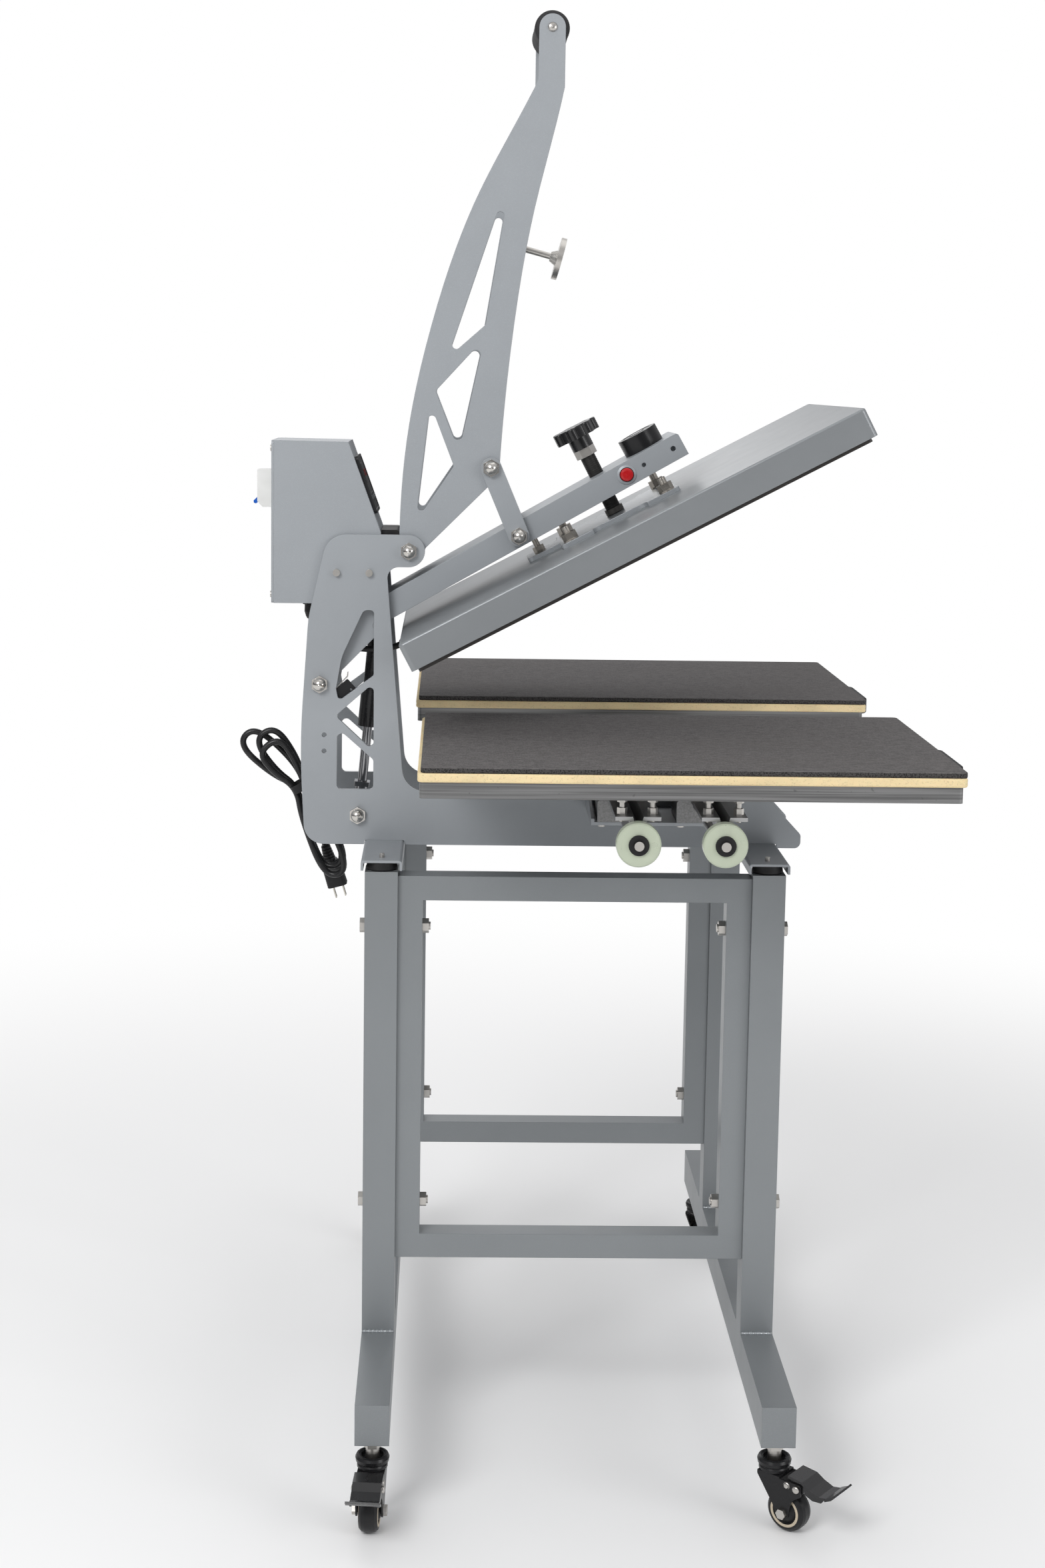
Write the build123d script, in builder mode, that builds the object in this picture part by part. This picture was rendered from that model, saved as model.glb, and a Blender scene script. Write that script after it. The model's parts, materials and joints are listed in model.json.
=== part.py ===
from build123d import *
import math
import os

# Dual station heat press on a wheeled stand, in millimetres and degrees.
# X points to the front of the press, Y to the far table and Z up from the floor.
# The origin is the middle of the stand on the floor.
# Heights of the press are written from the top of its base channels, bench_z.

os.makedirs("parts", exist_ok=True)

# Clearances
seam = 0.05
fit_gap = 0.05
running_gap = 0.4
bolt_gap = 0.2

# Stand
caster_height = 105.0
foot_width = 40.0
foot_height = 49.0
foot_length = 852.0
foot_end_plate = 3.0
tube_wall = 2.0
post_width = 40.0
post_height = 579.0
post_x = 235.0
post_y = 210.0
post_cap = 2.0
weld_size = 3.0
frame_tube = 30.0
frame_y = 208.0
frame_height = 481.0
frame_low_z = 248.0
frame_bolt_rises = (69.0, 416.0)
frame_bolt_radius = 5.0
frame_bolt_across = 16.0
frame_bolt_head = 6.4
frame_nut_height = 8.0
stem_y = 402.0
rubber_foot_radius = 19.0
rubber_foot_height = 11.0
channel_width = 50.0
channel_depth = 12.5
channel_wall = 3.0
channel_length = 460.0
channel_round = 4.0

# Casters
wheel_radius = 25.0
wheel_width = 22.0
rim_radius = 18.0
hub_radius = 14.0
axle_radius = 4.0
caster_trail = 22.0
fork_gap = 28.0
fork_wall = 2.0
race_radius = 20.0
race_top = 83.5
race_height = 12.0
stem_radius = 6.0
stem_nut_across = 19.0
stem_nut_height = 13.0
stem_socket_depth = 9.0
pedal_pivot = (40.0, 60.0)
caster_headings = {
    "near_left": (-1, -1, -95.0),
    "near_right": (1, -1, -40.0),
    "far_left": (-1, 1, 100.0),
    "far_right": (1, 1, 60.0),
}

# Press base, seen from the near side as (x, height)
head_y = -45.0
plate_gap = 118.0
plate_thickness = 6.0
arm_pivot = (-317.4, 197.6)
handle_pivot = (-207.5, 365.0)
tie_point = (-269.0, 32.0)
nose_radius = 20.0
plate_top = 385.0
plate_base = 63.0
plate_front = 290.5
plate_below = 5.5
arm_shaft_radius = 10.0
handle_shaft_radius = 8.0
shaft_bolt_radius = 6.0
acorn_across = 19.0
acorn_height = 14.0
spare_hole_radius = 3.0
spare_hole_x = -311.5
spare_hole_heights = (113.0, 133.4)
box_screw_places = ((-297.0, 337.5), (-256.5, 337.5))

# Control box
box_wall = 1.5
box_back_x = -375.5
box_front_x = -242.5
box_low = 298.0
box_top = 500.0
box_top_front_x = -283.5
box_slope_low = 387.0
panel_width = 100.0
panel_length = 75.0
panel_thickness = 4.0
board_size = (88.0, 62.0, 1.6)
gland_x = -332.0
breaker_width = 36.0
breaker_pivot = (-388.0, 433.0)

# Shuttle
rail_places = (55.4, 151.4)
rod_radius = 10.0
rod_height = 71.0
table_size = (597.0, 400.0, 18.0)
table_low = 123.0
table_middle_x = 111.5
near_table_y = -271.0
far_table_y = 279.0
far_table_shift = -10.4
foam_thickness = 10.0
pad_thickness = 6.5
block_span = 349.2
block_size = (60.0, 60.0, 38.0)
block_low = 48.0
shelf_thickness = 4.0
shelf_x = (18.0, 190.0)
bumper_radius = 25.0
bumper_length = 15.0

# Lift arm, along (u) and across (n) the arm from its pivot
arm_tilt = 29.8
arm_width = 100.0
arm_wall = 5.0
arm_low = 26.4
arm_top = 56.4
arm_rear = 70.0
arm_front = 541.0
bearing_radius = 13.0
gas_pin = (97.3, 27.7)
gas_pin_radius = 5.0
magnet_u = 499.1
magnet_radius = 26.0
magnet_height = 21.5
button_u = 461.0
button_radius = 8.2
link_u = 307.0
link_n = 40.5

# Gas spring, along its axis from the tie rod
gas_rod_radius = 6.0
gas_tube_radius = 11.0
gas_sleeve_radius = 13.0
gas_tube_start = 104.0
gas_sleeve_length = 47.0

# Platen, along (p) and above (q) the arm pivot, turned up with the open platen
platen_tilt = 27.8
screw_p = 427.9
platen_size = (616.0, 410.0, 36.0)
platen_low = -24.1
cover_wall = 2.0
plate_size = (600.0, 400.0, 16.0)
plate_drop = 4.5
suspension_size = (163.0, 150.0, 5.5)
tongue_length = 44.5
tongue_width = 60.0
thread_radius = 9.5
foot_radius = 12.0
foot_thickness = 7.0
knob_radius = 30.0
knob_height = 15.0

# Handle
handle_gap = 105.0
handle_wall = 5.0
handle_hub_radius = 11.0
handle_end_radius = 12.0
grip_center = (-39.3, 1001.9)
grip_radius = 21.5
crossbar_center = (-75.2, 742.0)
crossbar_size = (28.0, 6.0)
armature_tilt = -14.8
armature_reach = 55.9
armature_radius = 26.5
armature_thickness = 6.6
link_top = (-106.7, 469.1)
link_half_width = 13.0
link_wall = 5.0

# Cord
cord_radius = 4.0
waist = (-345.0, 57.0)
layer_step = 9.5
first_layer_y = -59.25
strand_offset = 5.2
waist_lean = 30.0
bottom_lean = 23.0
hank_turns = (
    (38.0, 67.0, 124.0),
    (35.0, 82.0, 114.0),
    (49.0, 95.0, 119.0),
)
hank_top_half = 16.5
hank_bottom_half = 18.0
hank_neck_half = 15.0
plug_length = 36.0
relief_length = 22.0

# Worked out from the sizes above
post_base_z = caster_height + foot_height
cap_top_z = post_base_z + post_height + post_cap
bench_z = cap_top_z + rubber_foot_height + channel_wall
near_inner_y = head_y - plate_gap / 2
far_inner_y = head_y + plate_gap / 2
near_outer_y = near_inner_y - plate_thickness
far_outer_y = far_inner_y + plate_thickness
stile_face_x = post_x - post_width / 2


def block(x, y, z, mode=Mode.ADD):
    """Box between the two limits given for each axis."""
    with Locations(((x[0] + x[1]) / 2, (y[0] + y[1]) / 2, (z[0] + z[1]) / 2)):
        Box(x[1] - x[0], y[1] - y[0], z[1] - z[0], mode=mode)


def rod(start, direction, radius, length, mode=Mode.ADD):
    """Round bar from a start point along a direction."""
    with Locations(Plane(origin=start, z_dir=direction)):
        Cylinder(radius, length, align=(Align.CENTER, Align.CENTER, Align.MIN), mode=mode)


def hexagon(start, direction, across, length, hole=0.0, mode=Mode.ADD):
    """Six-sided bar from a start point, with a round hole along it if one is given."""
    with BuildSketch(Plane(origin=start, z_dir=direction)) as section:
        RegularPolygon(across / 2, 6, major_radius=False)
        if hole > 0:
            Circle(hole, mode=Mode.SUBTRACT)
    extrude(section.sketch, amount=length, mode=mode)


def turned(start, direction, outline, mode=Mode.ADD):
    """Solid of revolution from (radius, distance) points about an axis."""
    plane = Plane(origin=start, z_dir=direction)
    upright = Plane(origin=start, x_dir=plane.x_dir, z_dir=plane.x_dir.cross(plane.z_dir))
    with BuildSketch(upright) as section:
        with BuildLine():
            Polyline(*outline, close=True)
        make_face()
    revolve(section.sketch, axis=Axis(start, direction), mode=mode)


def acorn_nut(start, direction, across, length):
    """Hexagon nut with a round dome that closes it."""
    skirt = length * 0.45
    dome_radius = across * 0.43
    hexagon(start, direction, across, skirt)
    plane = Plane(origin=start, z_dir=direction)
    upright = Plane(origin=start, x_dir=plane.x_dir, z_dir=plane.x_dir.cross(plane.z_dir))
    collar = skirt + (length - skirt) * 0.3
    rise = length - collar
    cap_radius = (dome_radius**2 + rise**2) / (2 * rise)
    half_turn = math.asin(min(1.0, dome_radius / cap_radius)) / 2
    cap_middle = (cap_radius * math.sin(half_turn), length - cap_radius * (1 - math.cos(half_turn)))
    with BuildSketch(upright) as section:
        with BuildLine():
            Polyline((0, length), (0, skirt), (dome_radius, skirt), (dome_radius, collar))
            ThreePointArc((dome_radius, collar), cap_middle, (0, length))
        make_face()
    revolve(section.sketch, axis=Axis(start, direction))


def side_plane(y, point=(0.0, 0.0), tilt=0.0):
    """Upright plane at one Y, seen from the near side, its x turned up by the tilt."""
    turn = math.radians(tilt)
    return Plane(
        origin=(point[0], y, bench_z + point[1]),
        x_dir=(math.cos(turn), 0, math.sin(turn)),
        z_dir=(0, -1, 0),
    )


def near_facing(x, y, z):
    """Upright plane that faces the near side, with X to the right and Z upward."""
    return Plane(origin=(x, y, z), x_dir=(1, 0, 0), z_dir=(0, -1, 0))


def heading(tilt):
    """Unit direction in the side view for an angle above the X axis."""
    turn = math.radians(tilt)
    return (math.cos(turn), 0, math.sin(turn))


def place(point, tilt, along, across, y):
    """Point of the model at a distance along and across a tilted line in the side view."""
    turn = math.radians(tilt)
    x = point[0] + along * math.cos(turn) - across * math.sin(turn)
    z = bench_z + point[1] + along * math.sin(turn) + across * math.cos(turn)
    return (x, y, z)


def arm_point(u, n, y):
    """Point of the model from the arm's own sizes."""
    return place(arm_pivot, arm_tilt, u, n, y)


def platen_point(p, q, y):
    """Point of the model from the open platen's own sizes."""
    return place(arm_pivot, platen_tilt, p, q, y)


near_way = (0, -1, 0)
far_way = (0, 1, 0)
arm_up = heading(90 + arm_tilt)
platen_up = heading(90 + platen_tilt)
platen_down = heading(platen_tilt - 90)
platen_front = heading(platen_tilt)
platen_rear = heading(platen_tilt + 180)


# Leg frames: a foot tube with two posts each, welded, with end plates and caps
with BuildPart() as leg_frames:
    for side in (-1, 1):
        x = side * post_x
        foot_x = (x - foot_width / 2, x + foot_width / 2)
        block(foot_x, (-foot_length / 2, foot_length / 2), (caster_height, post_base_z))
        for end in (-1, 1):
            y = end * post_y
            post_x_span = (x - post_width / 2, x + post_width / 2)
            post_y_span = (y - post_width / 2, y + post_width / 2)
            block(post_x_span, post_y_span, (post_base_z, post_base_z + post_height - seam))
    welds = leg_frames.edges().filter_by(Axis.X).filter_by_position(
        Axis.Z, post_base_z - 0.1, post_base_z + 0.1
    )
    inside_feet = welds.filter_by_position(Axis.Y, 1 - foot_length / 2, foot_length / 2 - 1)
    fillet(inside_feet, radius=weld_size)
    for side in (-1, 1):
        x = side * post_x
        inner_x = (x - foot_width / 2 + tube_wall, x + foot_width / 2 - tube_wall)
        inner_z = (caster_height + tube_wall, post_base_z - tube_wall)
        block(inner_x, (-foot_length / 2, foot_length / 2), inner_z, Mode.SUBTRACT)
        for end in (-1, 1):
            y = end * post_y
            inner_y = (y - post_width / 2 + tube_wall, y + post_width / 2 - tube_wall)
            block(inner_x, inner_y, (post_base_z, cap_top_z), Mode.SUBTRACT)
            stem_hole = (x, end * stem_y, caster_height - 1)
            rod(stem_hole, (0, 0, 1), stem_radius + bolt_gap, tube_wall + 2, Mode.SUBTRACT)
            for rise in frame_bolt_rises:
                hole = (x - post_width, end * frame_y, frame_low_z + rise)
                rod(hole, (1, 0, 0), frame_bolt_radius + bolt_gap, 2 * post_width, Mode.SUBTRACT)
    for side in (-1, 1):
        x = side * post_x
        for end in (-1, 1):
            y = end * post_y
            with Locations((x, y, cap_top_z - post_cap / 2)):
                Box(post_width, post_width, post_cap)
            plate_y = end * (foot_length / 2 + seam + foot_end_plate / 2)
            with Locations((x, plate_y, caster_height + foot_height / 2)):
                Box(foot_width, foot_end_plate, foot_height)
leg_frames.part.label = "leg_frames"
export_step(leg_frames.part, "parts/leg_frames.step")

# Side frames: two welded rings of square tube between the posts
with BuildPart() as side_frames:
    frame_middle_z = frame_low_z + frame_height / 2
    frame_width = 2 * stile_face_x
    for end in (-1, 1):
        with BuildSketch(near_facing(0, end * frame_y, frame_middle_z)):
            RectangleRounded(frame_width, frame_height, 1)
            Rectangle(frame_width - 2 * frame_tube, frame_height - 2 * frame_tube, mode=Mode.SUBTRACT)
        extrude(amount=frame_tube / 2, both=True)
        with BuildSketch(near_facing(0, end * frame_y, frame_middle_z)):
            Rectangle(frame_width - 2 * tube_wall, frame_height - 2 * tube_wall)
            inner_width = frame_width - 2 * frame_tube + 2 * tube_wall
            inner_height = frame_height - 2 * frame_tube + 2 * tube_wall
            Rectangle(inner_width, inner_height, mode=Mode.SUBTRACT)
        extrude(amount=frame_tube / 2 - tube_wall, both=True, mode=Mode.SUBTRACT)
        for rise in frame_bolt_rises:
            for side in (-1, 1):
                hole = (side * (stile_face_x + 1), end * frame_y, frame_low_z + rise)
                hole_length = frame_tube + 2
                rod(hole, (-side, 0, 0), frame_bolt_radius + bolt_gap, hole_length, Mode.SUBTRACT)
side_frames.part.label = "side_frames"
export_step(side_frames.part, "parts/side_frames.step")

# Base channels: two inverted channels across the posts
with BuildPart() as base_channels:
    for side in (-1, 1):
        with BuildSketch(near_facing(side * post_x, channel_length / 2, bench_z)):
            with BuildLine():
                FilletPolyline(
                    (-channel_width / 2, -channel_depth),
                    (-channel_width / 2, 0),
                    (channel_width / 2, 0),
                    (channel_width / 2, -channel_depth),
                    (channel_width / 2 - channel_wall, -channel_depth),
                    (channel_width / 2 - channel_wall, -channel_wall),
                    (channel_wall - channel_width / 2, -channel_wall),
                    (channel_wall - channel_width / 2, -channel_depth),
                    radius=[0, channel_round, channel_round, 0, 0, 1, 1, 0],
                    close=True,
                )
            make_face()
        extrude(amount=channel_length)
        for end in (-1, 1):
            hole = (side * post_x, end * post_y, bench_z - channel_wall - 1)
            rod(hole, (0, 0, 1), 3 + bolt_gap, channel_wall + 2, Mode.SUBTRACT)
base_channels.part.label = "base_channels"
export_step(base_channels.part, "parts/base_channels.step")

# Rubber buffers: four feet under the channels and the block that the handle leans on
bumper_front_x = handle_pivot[0] - handle_end_radius - running_gap
with BuildPart() as rubber_buffers:
    for side in (-1, 1):
        for end in (-1, 1):
            foot_base = (side * post_x, end * post_y, cap_top_z)
            turned(
                foot_base,
                (0, 0, 1),
                [
                    (6, 4),
                    (6, 0),
                    (rubber_foot_radius - 1.5, 0),
                    (rubber_foot_radius, 1.5),
                    (rubber_foot_radius - 1, rubber_foot_height),
                    (3 + bolt_gap, rubber_foot_height),
                    (3 + bolt_gap, 4),
                ],
            )
    block(
        (box_front_x, bumper_front_x),
        (head_y - 48, head_y + 48),
        (bench_z + box_slope_low - 29, bench_z + box_slope_low + 3),
    )
    block_edges = rubber_buffers.edges().filter_by(Axis.Y)
    fillet(block_edges.group_by(Axis.X)[-1], radius=4)
rubber_buffers.part.label = "rubber_buffers"
export_step(rubber_buffers.part, "parts/rubber_buffers.step")


def plate_outline(y):
    """Outline of a base plate with its cut-outs, holes and notches, on one Y plane."""
    notch_low = channel_width / 2 + running_gap
    outer_notch = post_x + notch_low
    inner_notch = post_x - notch_low
    nose_x = handle_pivot[0] + nose_radius
    nose_low = handle_pivot[1] - nose_radius
    with BuildSketch(side_plane(y)) as outline:
        with BuildLine():
            FilletPolyline(
                (nose_x, plate_top),
                (nose_x, nose_low),
                (-235.0, nose_low),
                (-211.4, plate_base),
                (243.0, plate_base),
                (plate_front, 12.0),
                (plate_front, -plate_below),
                (outer_notch, -plate_below),
                (outer_notch, 0),
                (inner_notch, 0),
                (inner_notch, -plate_below),
                (-inner_notch, -plate_below),
                (-inner_notch, 0),
                (-outer_notch, 0),
                (-outer_notch, -plate_below),
                (-335.6, -plate_below),
                (-342.0, 120.0),
                (-331.8, 281.0),
                (-308.2, plate_top),
                radius=[
                    nose_radius - 0.05, nose_radius - 0.05, 14, 30, 4, 6, 8,
                    1, 2.5, 2.5, 1, 1, 2.5, 2.5, 1,
                    25, 900, 150, 29,
                ],
                close=True,
            )
        make_face()
        for window, corners in (
            (((-250, 291), (-250, 209), (-294, 176), (-297, 192), (-290, 232), (-263, 291)), [5, 5, 4, 5, 60, 8]),
            (((-249.7, 200), (-297.5, 157.5), (-249.7, 113)), [5, 5, 5]),
            (((-295.5, 142.5), (-249.7, 102.5), (-249.7, 64.5), (-295.5, 64.5)), [6, 6, 6, 6]),
        ):
            with BuildSketch(mode=Mode.PRIVATE) as cutout:
                with BuildLine():
                    FilletPolyline(*window, radius=corners, close=True)
                make_face()
            add(cutout.sketch, mode=Mode.SUBTRACT)
        with Locations(arm_pivot, handle_pivot, tie_point):
            Circle(shaft_bolt_radius + bolt_gap, mode=Mode.SUBTRACT)
        with Locations(*[(spare_hole_x, height) for height in spare_hole_heights]):
            Circle(spare_hole_radius, mode=Mode.SUBTRACT)
        with Locations(*box_screw_places):
            Circle(3, mode=Mode.SUBTRACT)
        with Locations(*[(rail, rod_height) for rail in rail_places]):
            Circle(rod_radius + 2.5, mode=Mode.SUBTRACT)
    return outline.sketch


# Side plates: the two cut-out base plates on the channels
with BuildPart() as side_plate_near:
    extrude(plate_outline(near_inner_y), amount=plate_thickness)
side_plate_near.part.label = "side_plate_near"
export_step(side_plate_near.part, "parts/side_plate_near.step")

with BuildPart() as side_plate_far:
    extrude(plate_outline(far_outer_y), amount=plate_thickness)
side_plate_far.part.label = "side_plate_far"
export_step(side_plate_far.part, "parts/side_plate_far.step")


def cross_shaft(point, radius):
    """Shaft between the side plates with threaded ends and acorn nuts outside them."""
    start = (point[0], near_inner_y, bench_z + point[1])
    rod(start, far_way, radius, plate_gap)
    thread_start = (point[0], near_outer_y + seam, bench_z + point[1])
    rod(thread_start, far_way, shaft_bolt_radius, plate_gap + 2 * plate_thickness - 2 * seam)
    acorn_nut((point[0], near_outer_y, bench_z + point[1]), near_way, acorn_across, acorn_height)
    acorn_nut((point[0], far_outer_y, bench_z + point[1]), far_way, acorn_across, acorn_height)


# Cross shafts: arm shaft, handle shaft and tie rod, with the arm's and handle's spacers
with BuildPart() as cross_shafts:
    cross_shaft(arm_pivot, arm_shaft_radius)
    cross_shaft(handle_pivot, handle_shaft_radius)
    cross_shaft(tie_point, handle_shaft_radius)
    for side in (-1, 1):
        for point, bore, outer, reach in (
            (arm_pivot, arm_shaft_radius, 15.0, arm_width / 2),
            (handle_pivot, handle_shaft_radius, 13.0, handle_gap / 2 + handle_wall),
        ):
            spacer_length = plate_gap / 2 - reach - running_gap
            start = (point[0], head_y + side * (plate_gap / 2 - seam), bench_z + point[1])
            turned(
                start,
                (0, -side, 0),
                [
                    (bore + seam, 0),
                    (outer, 0),
                    (outer, spacer_length - seam),
                    (bore + seam, spacer_length - seam),
                ],
            )
cross_shafts.part.label = "cross_shafts"
export_step(cross_shafts.part, "parts/cross_shafts.step")

# Control box: folded sheet shell with a sloped front, open at the back
box_half = plate_gap / 2 - running_gap
box_outline = [
    (box_back_x, box_top),
    (box_top_front_x, box_top - 1),
    (box_front_x, box_slope_low),
    (box_front_x, box_low + 14),
    (box_front_x - 22, box_low),
    (box_back_x, box_low),
]
slope_angle = math.degrees(math.atan2(box_slope_low - box_top + 1, box_front_x - box_top_front_x))
panel_distance = 57.5
panel_plane = Plane(
    origin=place((box_top_front_x, box_top - 1), slope_angle, panel_distance, 0, head_y),
    x_dir=(0, 1, 0),
    z_dir=heading(slope_angle + 90),
)
with BuildPart() as control_box_shell:
    with BuildSketch(side_plane(head_y)) as box_side:
        with BuildLine():
            Polyline(*box_outline, close=True)
        make_face()
    extrude(amount=box_half, both=True)
    with BuildSketch(side_plane(head_y)):
        add(box_side.sketch_local)
        offset(amount=-box_wall)
    extrude(amount=box_half - box_wall, both=True, mode=Mode.SUBTRACT)
    block(
        (box_back_x - 1, box_back_x + box_wall + 0.1),
        (head_y - box_half + box_wall, head_y + box_half - box_wall),
        (bench_z + box_low + box_wall, bench_z + box_top - box_wall - 1),
        Mode.SUBTRACT,
    )
    rod((gland_x, head_y, bench_z + box_low - 1), (0, 0, 1), 6 + bolt_gap, 5, Mode.SUBTRACT)
    for x, height in box_screw_places:
        rod((x, head_y - 100, bench_z + height), far_way, 2.8, 200, Mode.SUBTRACT)
    with BuildSketch(panel_plane):
        Rectangle(40, 12)
    extrude(amount=-box_wall - 1, mode=Mode.SUBTRACT)
control_box_shell.part.label = "control_box_shell"
export_step(control_box_shell.part, "parts/control_box_shell.step")

# Back cover of the box, with the opening for the breaker
breaker_low = breaker_pivot[1] - 18
breaker_high = breaker_pivot[1] + 29
with BuildPart() as control_box_back:
    block(
        (box_back_x - 3, box_back_x),
        (head_y - box_half, head_y + box_half),
        (bench_z + box_low, bench_z + box_top),
    )
    fillet(control_box_back.edges().filter_by(Axis.X), radius=4)
    block(
        (box_back_x - 4, box_back_x + 1),
        (head_y - breaker_width / 2 - bolt_gap, head_y + breaker_width / 2 + bolt_gap),
        (bench_z + breaker_low - bolt_gap, bench_z + breaker_high + bolt_gap),
        Mode.SUBTRACT,
    )
    for height in (box_low + 10, box_top - 10):
        for side in (-1, 1):
            hole = (box_back_x - 4, head_y + side * 45, bench_z + height)
            rod(hole, (1, 0, 0), 2 + bolt_gap, 5, Mode.SUBTRACT)
control_box_back.part.label = "control_box_back"
export_step(control_box_back.part, "parts/control_box_back.step")

# Control panel: bezel with a recess for the key sheet, its window and keys
with BuildPart() as control_panel:
    with BuildSketch(panel_plane):
        RectangleRounded(panel_width, panel_length, 5)
    extrude(amount=panel_thickness)
    with BuildSketch(panel_plane.offset(panel_thickness)):
        RectangleRounded(panel_width - 8, panel_length - 8, 3)
    extrude(amount=-1, mode=Mode.SUBTRACT)
    with BuildSketch(panel_plane.offset(panel_thickness - 1 + seam)):
        with Locations((0, 14)):
            RectangleRounded(56, 26, 2)
    extrude(amount=0.5)
    with BuildSketch(panel_plane.offset(panel_thickness - 1 + seam)):
        with Locations((0, -18)):
            with GridLocations(21, 14, 4, 1):
                RectangleRounded(15, 11, 2.5)
    extrude(amount=0.6)
control_panel.part.label = "control_panel"
export_step(control_panel.part, "parts/control_panel.step")

# Controller board on four pillars behind the sloped face
with BuildPart() as controller_board:
    with BuildSketch(panel_plane.offset(-box_wall - 12)):
        Rectangle(board_size[0], board_size[1])
    extrude(amount=-board_size[2])
    with BuildSketch(panel_plane.offset(-box_wall - 12 - board_size[2] - seam)):
        with Locations((-25, 10)):
            Rectangle(28, 22)
        with Locations((20, 12)):
            Rectangle(20, 16)
    extrude(amount=-16)
    with BuildSketch(panel_plane.offset(-box_wall)):
        with GridLocations(board_size[0] - 10, board_size[1] - 10, 2, 2):
            Circle(3)
    extrude(amount=-12 + seam)
controller_board.part.label = "controller_board"
export_step(controller_board.part, "parts/controller_board.step")

# Circuit breaker: body inside the box, nose with a slot for the lever outside it
with BuildPart() as circuit_breaker:
    block(
        (box_back_x + 2, box_back_x + 60),
        (head_y - breaker_width / 2, head_y + breaker_width / 2),
        (bench_z + breaker_low - 17, bench_z + breaker_high + 16),
    )
    with BuildSketch(side_plane(head_y)):
        with BuildLine():
            Polyline(
                (box_back_x + 2, breaker_low),
                (box_back_x - 17, breaker_low),
                (box_back_x - 24, breaker_low + 7),
                (box_back_x - 24, breaker_high),
                (box_back_x + 2, breaker_high),
                close=True,
            )
        make_face()
    extrude(amount=breaker_width / 2, both=True)
    block(
        (box_back_x - 25, breaker_pivot[0] + 8),
        (head_y - 9, head_y + 9),
        (bench_z + breaker_pivot[1] - 14, bench_z + breaker_pivot[1] + 15),
        Mode.SUBTRACT,
    )
    pin_start = (breaker_pivot[0], head_y - 10, bench_z + breaker_pivot[1])
    rod(pin_start, far_way, 2, 20)
circuit_breaker.part.label = "circuit_breaker"
export_step(circuit_breaker.part, "parts/circuit_breaker.step")

# Breaker lever, turned down, with its bore on the breaker's pin
with BuildPart() as breaker_toggle:
    rod((breaker_pivot[0], head_y - 8, bench_z + breaker_pivot[1]), far_way, 6, 16)
    with BuildSketch(side_plane(head_y, breaker_pivot, -141)):
        with BuildLine():
            Polyline((0, 4.5), (20, 2.4), (21.5, 0), (20, -2.4), (0, -4.5), close=True)
        make_face()
    extrude(amount=7, both=True)
    bore_start = (breaker_pivot[0], head_y - 10, bench_z + breaker_pivot[1])
    rod(bore_start, far_way, 2 + fit_gap, 20, Mode.SUBTRACT)
breaker_toggle.part.label = "breaker_toggle"
export_step(breaker_toggle.part, "parts/breaker_toggle.step")

# Cable gland under the box
gland_length = 25.0
with BuildPart() as cable_gland:
    gland_top = (gland_x, head_y, bench_z + box_low)
    hexagon(gland_top, (0, 0, -1), 19, 7)
    turned(
        (gland_x, head_y, bench_z + box_low - 7),
        (0, 0, -1),
        [(0, 0), (8.6, 0), (8.8, 9), (7, 15), (5.2, gland_length - 7), (0, gland_length - 7)],
    )
    rod(gland_top, (0, 0, 1), 6, box_wall)
    hexagon((gland_x, head_y, bench_z + box_low + box_wall), (0, 0, 1), 19, 5)
cable_gland.part.label = "cable_gland"
export_step(cable_gland.part, "parts/cable_gland.step")

# Micro switch on the near plate, beside the arm's cheek
switch_corner = (-304.3, 184.4)
switch_tilt = 41.7
with BuildPart() as micro_switch:
    with BuildSketch(side_plane(near_inner_y + 8, switch_corner, switch_tilt)):
        with Locations((14, -9)):
            RectangleRounded(28, 18, 1.5)
        with Locations((5, -13), (23, -13)):
            Circle(1.6, mode=Mode.SUBTRACT)
    extrude(amount=8)
    with BuildSketch(side_plane(near_inner_y + 7, switch_corner, switch_tilt)):
        with BuildLine():
            Polyline((1, seam), (30, 3), (34, 6.4), (34.8, 5.8), (30.8, 1.8), (3, 0.1), close=True)
        make_face()
    extrude(amount=6)
    with BuildSketch(side_plane(near_inner_y + 6, switch_corner, switch_tilt)):
        with Locations((-4, -5), (-4, -13)):
            Rectangle(8 - 2 * seam, 4)
    extrude(amount=4)
micro_switch.part.label = "micro_switch"
export_step(micro_switch.part, "parts/micro_switch.step")

# Bearing brackets: a shelf with flange and gussets on the outside of each plate
block_half_span = block_span / 2
shelf_low = block_low - shelf_thickness
with BuildPart() as bearing_brackets:
    for side, face_y in ((-1, near_outer_y), (1, far_outer_y)):
        edge_y = head_y + side * block_half_span
        y_span = sorted((edge_y, face_y))
        block(shelf_x, y_span, (bench_z + shelf_low, bench_z + block_low))
        flange_span = sorted((face_y, face_y + side * shelf_thickness))
        block(shelf_x, flange_span, (bench_z + shelf_low, bench_z + block_low + 13))
        for x in (shelf_x[0], shelf_x[1] - shelf_thickness):
            with BuildSketch(Plane(origin=(x, face_y, bench_z + block_low), x_dir=(0, side, 0), z_dir=(side, 0, 0))):
                with BuildLine():
                    Polyline(
                        (0, 0),
                        (0, 23),
                        (20, 23),
                        (side * (edge_y - face_y), 4),
                        (side * (edge_y - face_y), 0),
                        close=True,
                    )
                make_face()
            extrude(amount=side * shelf_thickness)
    for rail in rail_places:
        for side in (-1, 1):
            middle_y = head_y + side * (block_half_span - block_size[1] / 2)
            for dx in (-24, 24):
                for dy in (-20, 20):
                    hole = (rail + dx, middle_y + dy, bench_z + shelf_low - 1)
                    rod(hole, (0, 0, 1), 2.5 + bolt_gap, shelf_thickness + 2, Mode.SUBTRACT)
bearing_brackets.part.label = "bearing_brackets"
export_step(bearing_brackets.part, "parts/bearing_brackets.step")

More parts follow.
